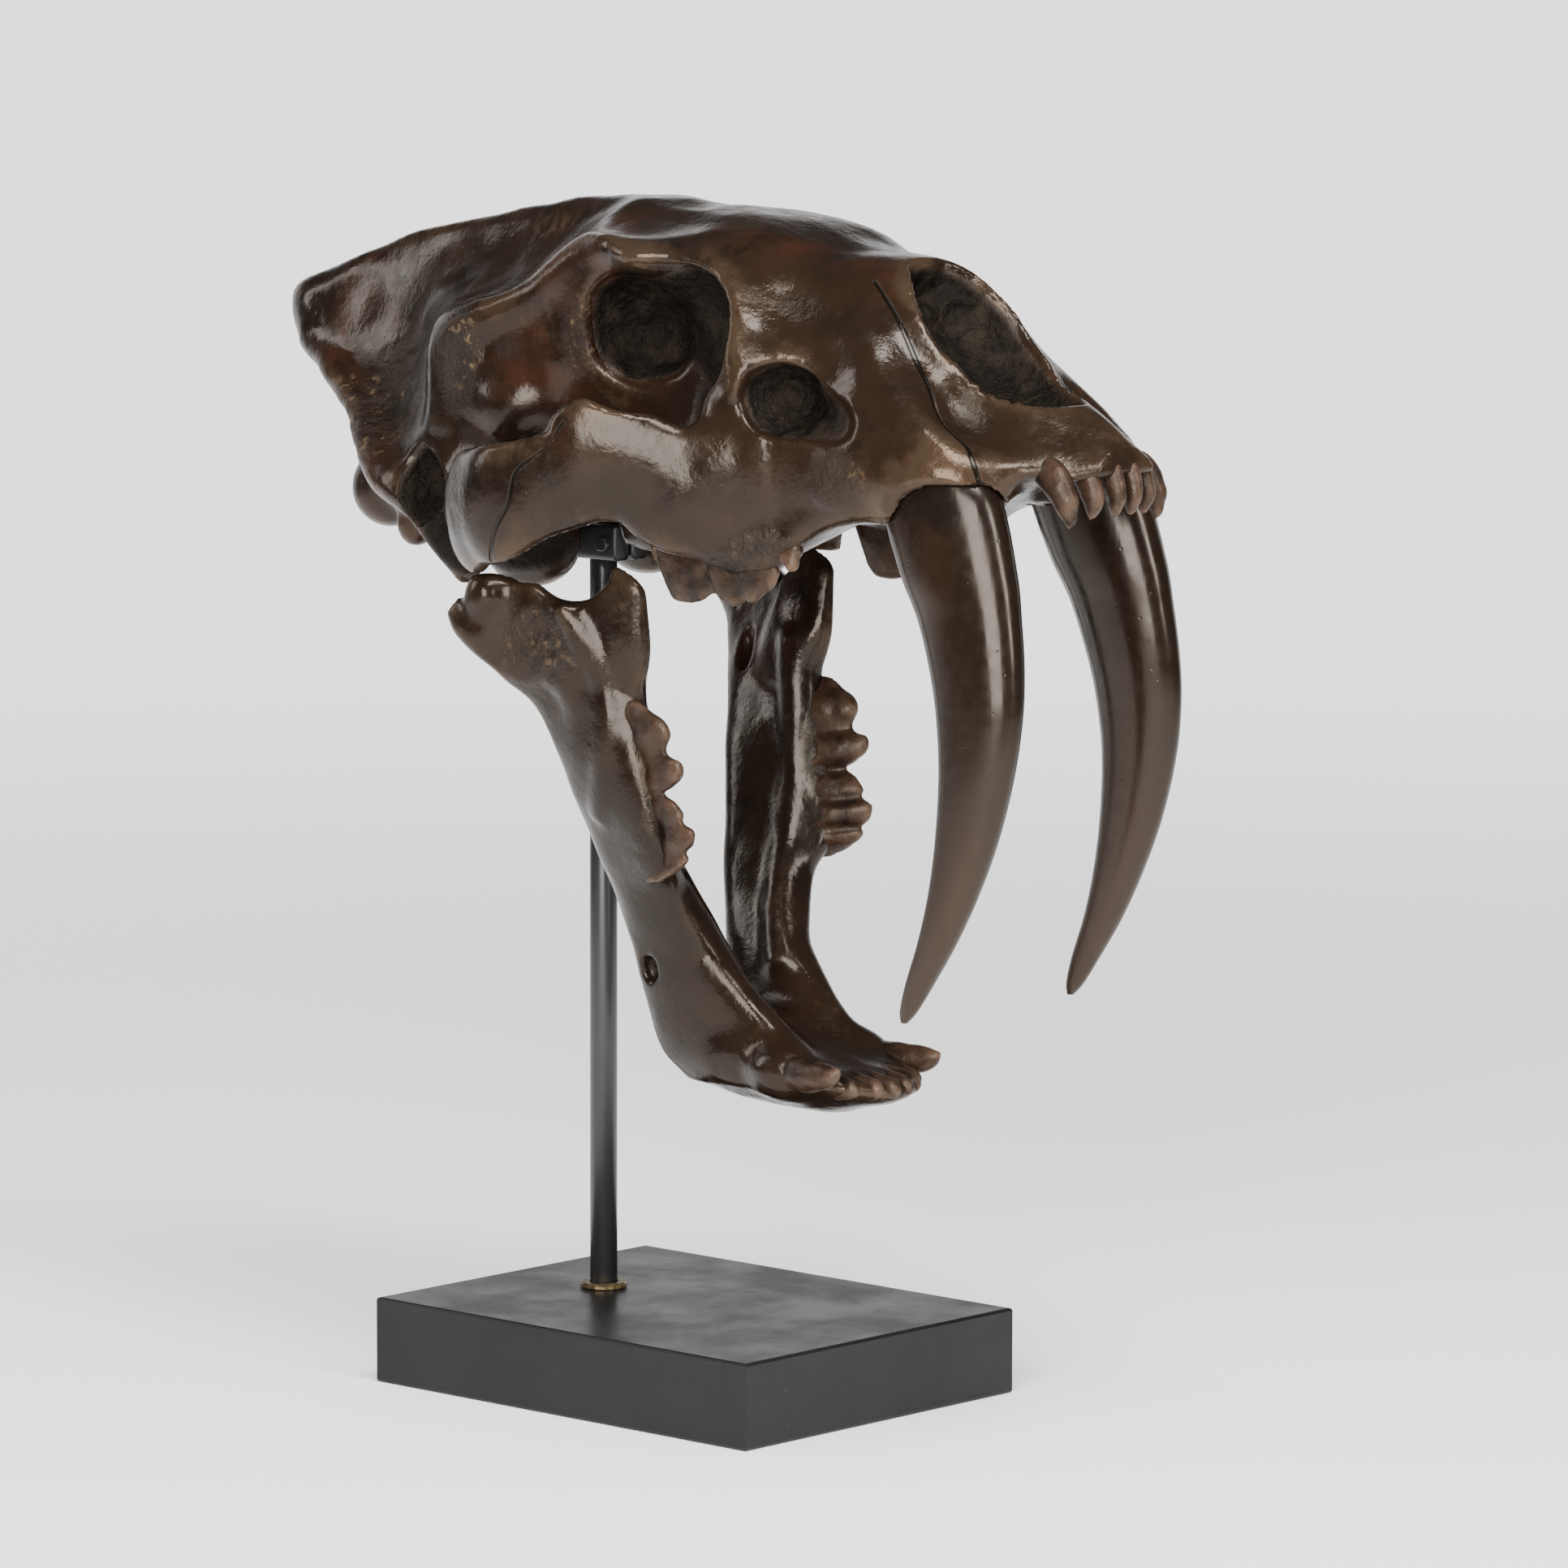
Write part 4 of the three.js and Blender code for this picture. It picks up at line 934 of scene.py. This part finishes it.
# sabres: dark at the gum, brown along the blade, worn to a warm dull brown towards the tip, with fine streaks
def sabreBronze(n):
    look = sabreLook
    height = n.math("ADD", n.own("height"), n.ramp(n.noise(28, 4, 0.6), 0.2, 0.8, -16, 16))
    tip = n.ramp(height, look["tipFrom"], look["tipTo"])
    streak = n.ramp(n.noise(60, 4, 0.65, (1, 1, 0.12)), 0.45, 0.7)
    colour = n.mix(streak, n.mix(tip, look["root"], look["tip"]), look["streak"])
    colour = n.mix(n.ramp(height, look["gumTo"], look["gumFrom"]), colour, look["gum"])
    n.give("Base Color", colour)
    wave = n.ramp(n.noise(260, 3), 0.3, 0.7, 0.17, 0.27)
    n.give("Roughness", n.math("ADD", wave, n.math("MULTIPLY", tip, 0.16)))
    n.give("Specular IOR Level", look["shine"])
    n.give("Specular Tint", bronzeLook["tint"])
    n.give("Coat Weight", bronzeLook["coat"])
    n.give("Coat Roughness", bronzeLook["coatRoughness"])
    lines = n.bump(n.noise(160, 3, 0.6, (1, 1, 0.06)), 0.25, 0.0004)
    pits = n.bump(n.ramp(n.cells(210), 0.0, 0.12), 0.3, 0.0003, lines)
    n.give("Normal", pits)


# satin black paint with faint mottling, a little dust and fine scratches along the block
def blockBlack(n):
    dust = n.math("MULTIPLY", n.ramp(n.noise(900, 2, 0.7), 0.68, 0.76), n.ramp(n.noise(20, 3), 0.45, 0.65))
    colour = n.mix(n.ramp(n.noise(14, 4, 0.6), 0.35, 0.65), (0.005, 0.0048, 0.005), (0.0075, 0.0072, 0.0074))
    n.give("Base Color", n.mix(n.math("MULTIPLY", dust, 0.25), colour, (0.08, 0.08, 0.08)))
    n.give("Roughness", n.ramp(n.noise(35, 5, 0.65), 0.3, 0.7, 0.3, 0.42))
    n.give("Specular IOR Level", 0.2)
    orange = n.bump(n.noise(420, 2, 0.5), 0.12, 0.0003)
    n.give("Normal", n.bump(n.noise(260, 2, 0.6, (0.05, 1, 1)), 0.05, 0.0002, orange))


# half-gloss black paint drawn along the rod
def rodBlack(n):
    colour = n.mix(n.noise(50, 4, 0.6), (0.008, 0.008, 0.0085), (0.014, 0.0135, 0.0135))
    n.give("Base Color", colour)
    n.give("Roughness", n.ramp(n.noise(180, 4, 0.6, (1, 1, 0.08)), 0.3, 0.7, 0.24, 0.38))
    n.give("Normal", n.bump(n.noise(500, 3, 0.6, (1, 1, 0.1)), 0.12, 0.0002))


# dulled brass with darker stains and turning marks
def washerBrass(n):
    stain = n.ramp(n.noise(260, 4), 0.35, 0.65)
    n.give("Base Color", n.mix(stain, (0.24, 0.18, 0.085), (0.1, 0.07, 0.035)))
    n.give("Metallic", 0.9)
    n.give("Roughness", n.ramp(n.noise(700, 3), 0.3, 0.7, 0.32, 0.52))
    n.give("Normal", n.bump(n.noise(1200, 3, 0.6, (1, 1, 4)), 0.2, 0.0002))


# studio: a pale floor that fades into a pale surround, and soft panels of light
studio = {
    "floor": (0.9, 0.9, 0.9, 1), "background": (2.15, 2.15, 2.15, 1), "reflected": (0.1, 0.1, 0.105, 1),
    "wall": (1.4, 1.4, 1.4, 1), "soft": (0.85, 0.85, 0.85, 1), "fadeFrom": 0.5, "fadeTo": 1.8,
    "floorRoughness": 0.8, "floorRadius": 3000, "floorSides": 96, "aim": (0, 0, 0.24),
}
panels = {
    # azimuth and elevation in degrees, distance, width, height, watts
    "key": (30, 16, 1.9, 0.95, 1.4, 78),
    "left": (-58, 22, 1.8, 0.4, 1.1, 9),
    "right": (86, 22, 1.8, 0.35, 1.1, 26),
    "top": (64, 60, 1.7, 0.6, 0.6, 34),
}


# what bronze reflects is dark, but for a white wall low behind it: the wall's share = ramp(direction . back)
# times ramp(height), the numbers being where each ramp starts and where it is full
def surround(tree, n):
    az = math.radians(camera["azimuth"])
    facing, split = n("ShaderNodeVectorMath"), n("ShaderNodeSeparateXYZ")
    place = n("ShaderNodeTexCoord").outputs["Generated"]
    facing.operation = "DOT_PRODUCT"
    facing.inputs[1].default_value = (-math.sin(az), math.cos(az), 0)
    tree.links.new(place, facing.inputs[0])
    tree.links.new(place, split.inputs[0])
    shares = []
    for value, low, high in ((facing.outputs["Value"], 0.45, 0.8), (split.outputs["Z"], 0.45, 0.2)):
        ramp = n("ShaderNodeMapRange")
        ramp.interpolation_type = "SMOOTHSTEP"
        ramp.inputs["From Min"].default_value, ramp.inputs["From Max"].default_value = low, high
        tree.links.new(value, ramp.inputs["Value"])
        shares.append(ramp.outputs["Result"])
    both, mix = n("ShaderNodeMath"), n("ShaderNodeMix")
    both.operation, mix.data_type = "MULTIPLY", "RGBA"
    for k in (0, 1):
        tree.links.new(shares[k], both.inputs[k])
    tree.links.new(both.outputs[0], mix.inputs[0])
    mix.inputs[6].default_value = studio["reflected"]
    mix.inputs[7].default_value = studio["wall"]
    return mix.outputs[2]


# the floor fades out with the distance from its middle: alpha = ramp(|place|)
def floorPale(n):
    length = n.tree.nodes.new("ShaderNodeVectorMath")
    length.operation = "LENGTH"
    n.set(length.inputs[0], n.place)
    n.give("Base Color", studio["floor"])
    n.give("Roughness", studio["floorRoughness"])
    n.give("Alpha", n.ramp(length.outputs["Value"], studio["fadeFrom"], studio["fadeTo"], 1, 0))


def makeStudio():
    world = bpy.data.worlds.new("surround")
    world.use_nodes = True
    tree = world.node_tree
    node = tree.nodes.new
    path, mix, dull = node("ShaderNodeLightPath"), node("ShaderNodeMix"), node("ShaderNodeMix")
    mix.data_type = dull.data_type = "RGBA"
    tree.links.new(path.outputs["Is Diffuse Ray"], dull.inputs[0])
    tree.links.new(surround(tree, node), dull.inputs[6])
    dull.inputs[7].default_value = studio["soft"]
    tree.links.new(dull.outputs[2], mix.inputs[6])
    mix.inputs[7].default_value = studio["background"]
    tree.links.new(path.outputs["Is Camera Ray"], mix.inputs[0])
    tree.links.new(mix.outputs[2], tree.nodes["Background"].inputs["Color"])
    bpy.context.scene.world = world
    sides = studio["floorSides"]
    turn = np.linspace(0, 2 * math.pi, sides, endpoint=False)
    points = studio["floorRadius"] * np.stack([np.cos(turn), np.sin(turn), 0 * turn], 1)
    floor = meshObject("floor", points, np.arange(sides)[None], smooth=False)
    floor.data.materials.append(material("floor_pale", floorPale))
    for name, (azimuth, elevation, distance, width, height, watts) in panels.items():
        light = bpy.data.lights.new(name, "AREA")
        light.shape, light.size, light.size_y, light.energy = "RECTANGLE", width, height, watts
        obj = bpy.data.objects.new("light_" + name, light)
        a, e, aim = math.radians(azimuth), math.radians(elevation), Vector(studio["aim"])
        place = aim + distance * Vector((math.sin(a) * math.cos(e), -math.cos(a) * math.cos(e), math.sin(e)))
        turn = (place - aim).to_track_quat("Z", "Y").to_matrix().to_4x4()
        obj.matrix_world = Matrix.Translation(place) @ turn
        bpy.context.scene.collection.objects.link(obj)
    print("studio made")


makeCranium()
makeMandible()
makeSabres()
makeTeeth()
makeStand()
makeStudio()
makeCamera()
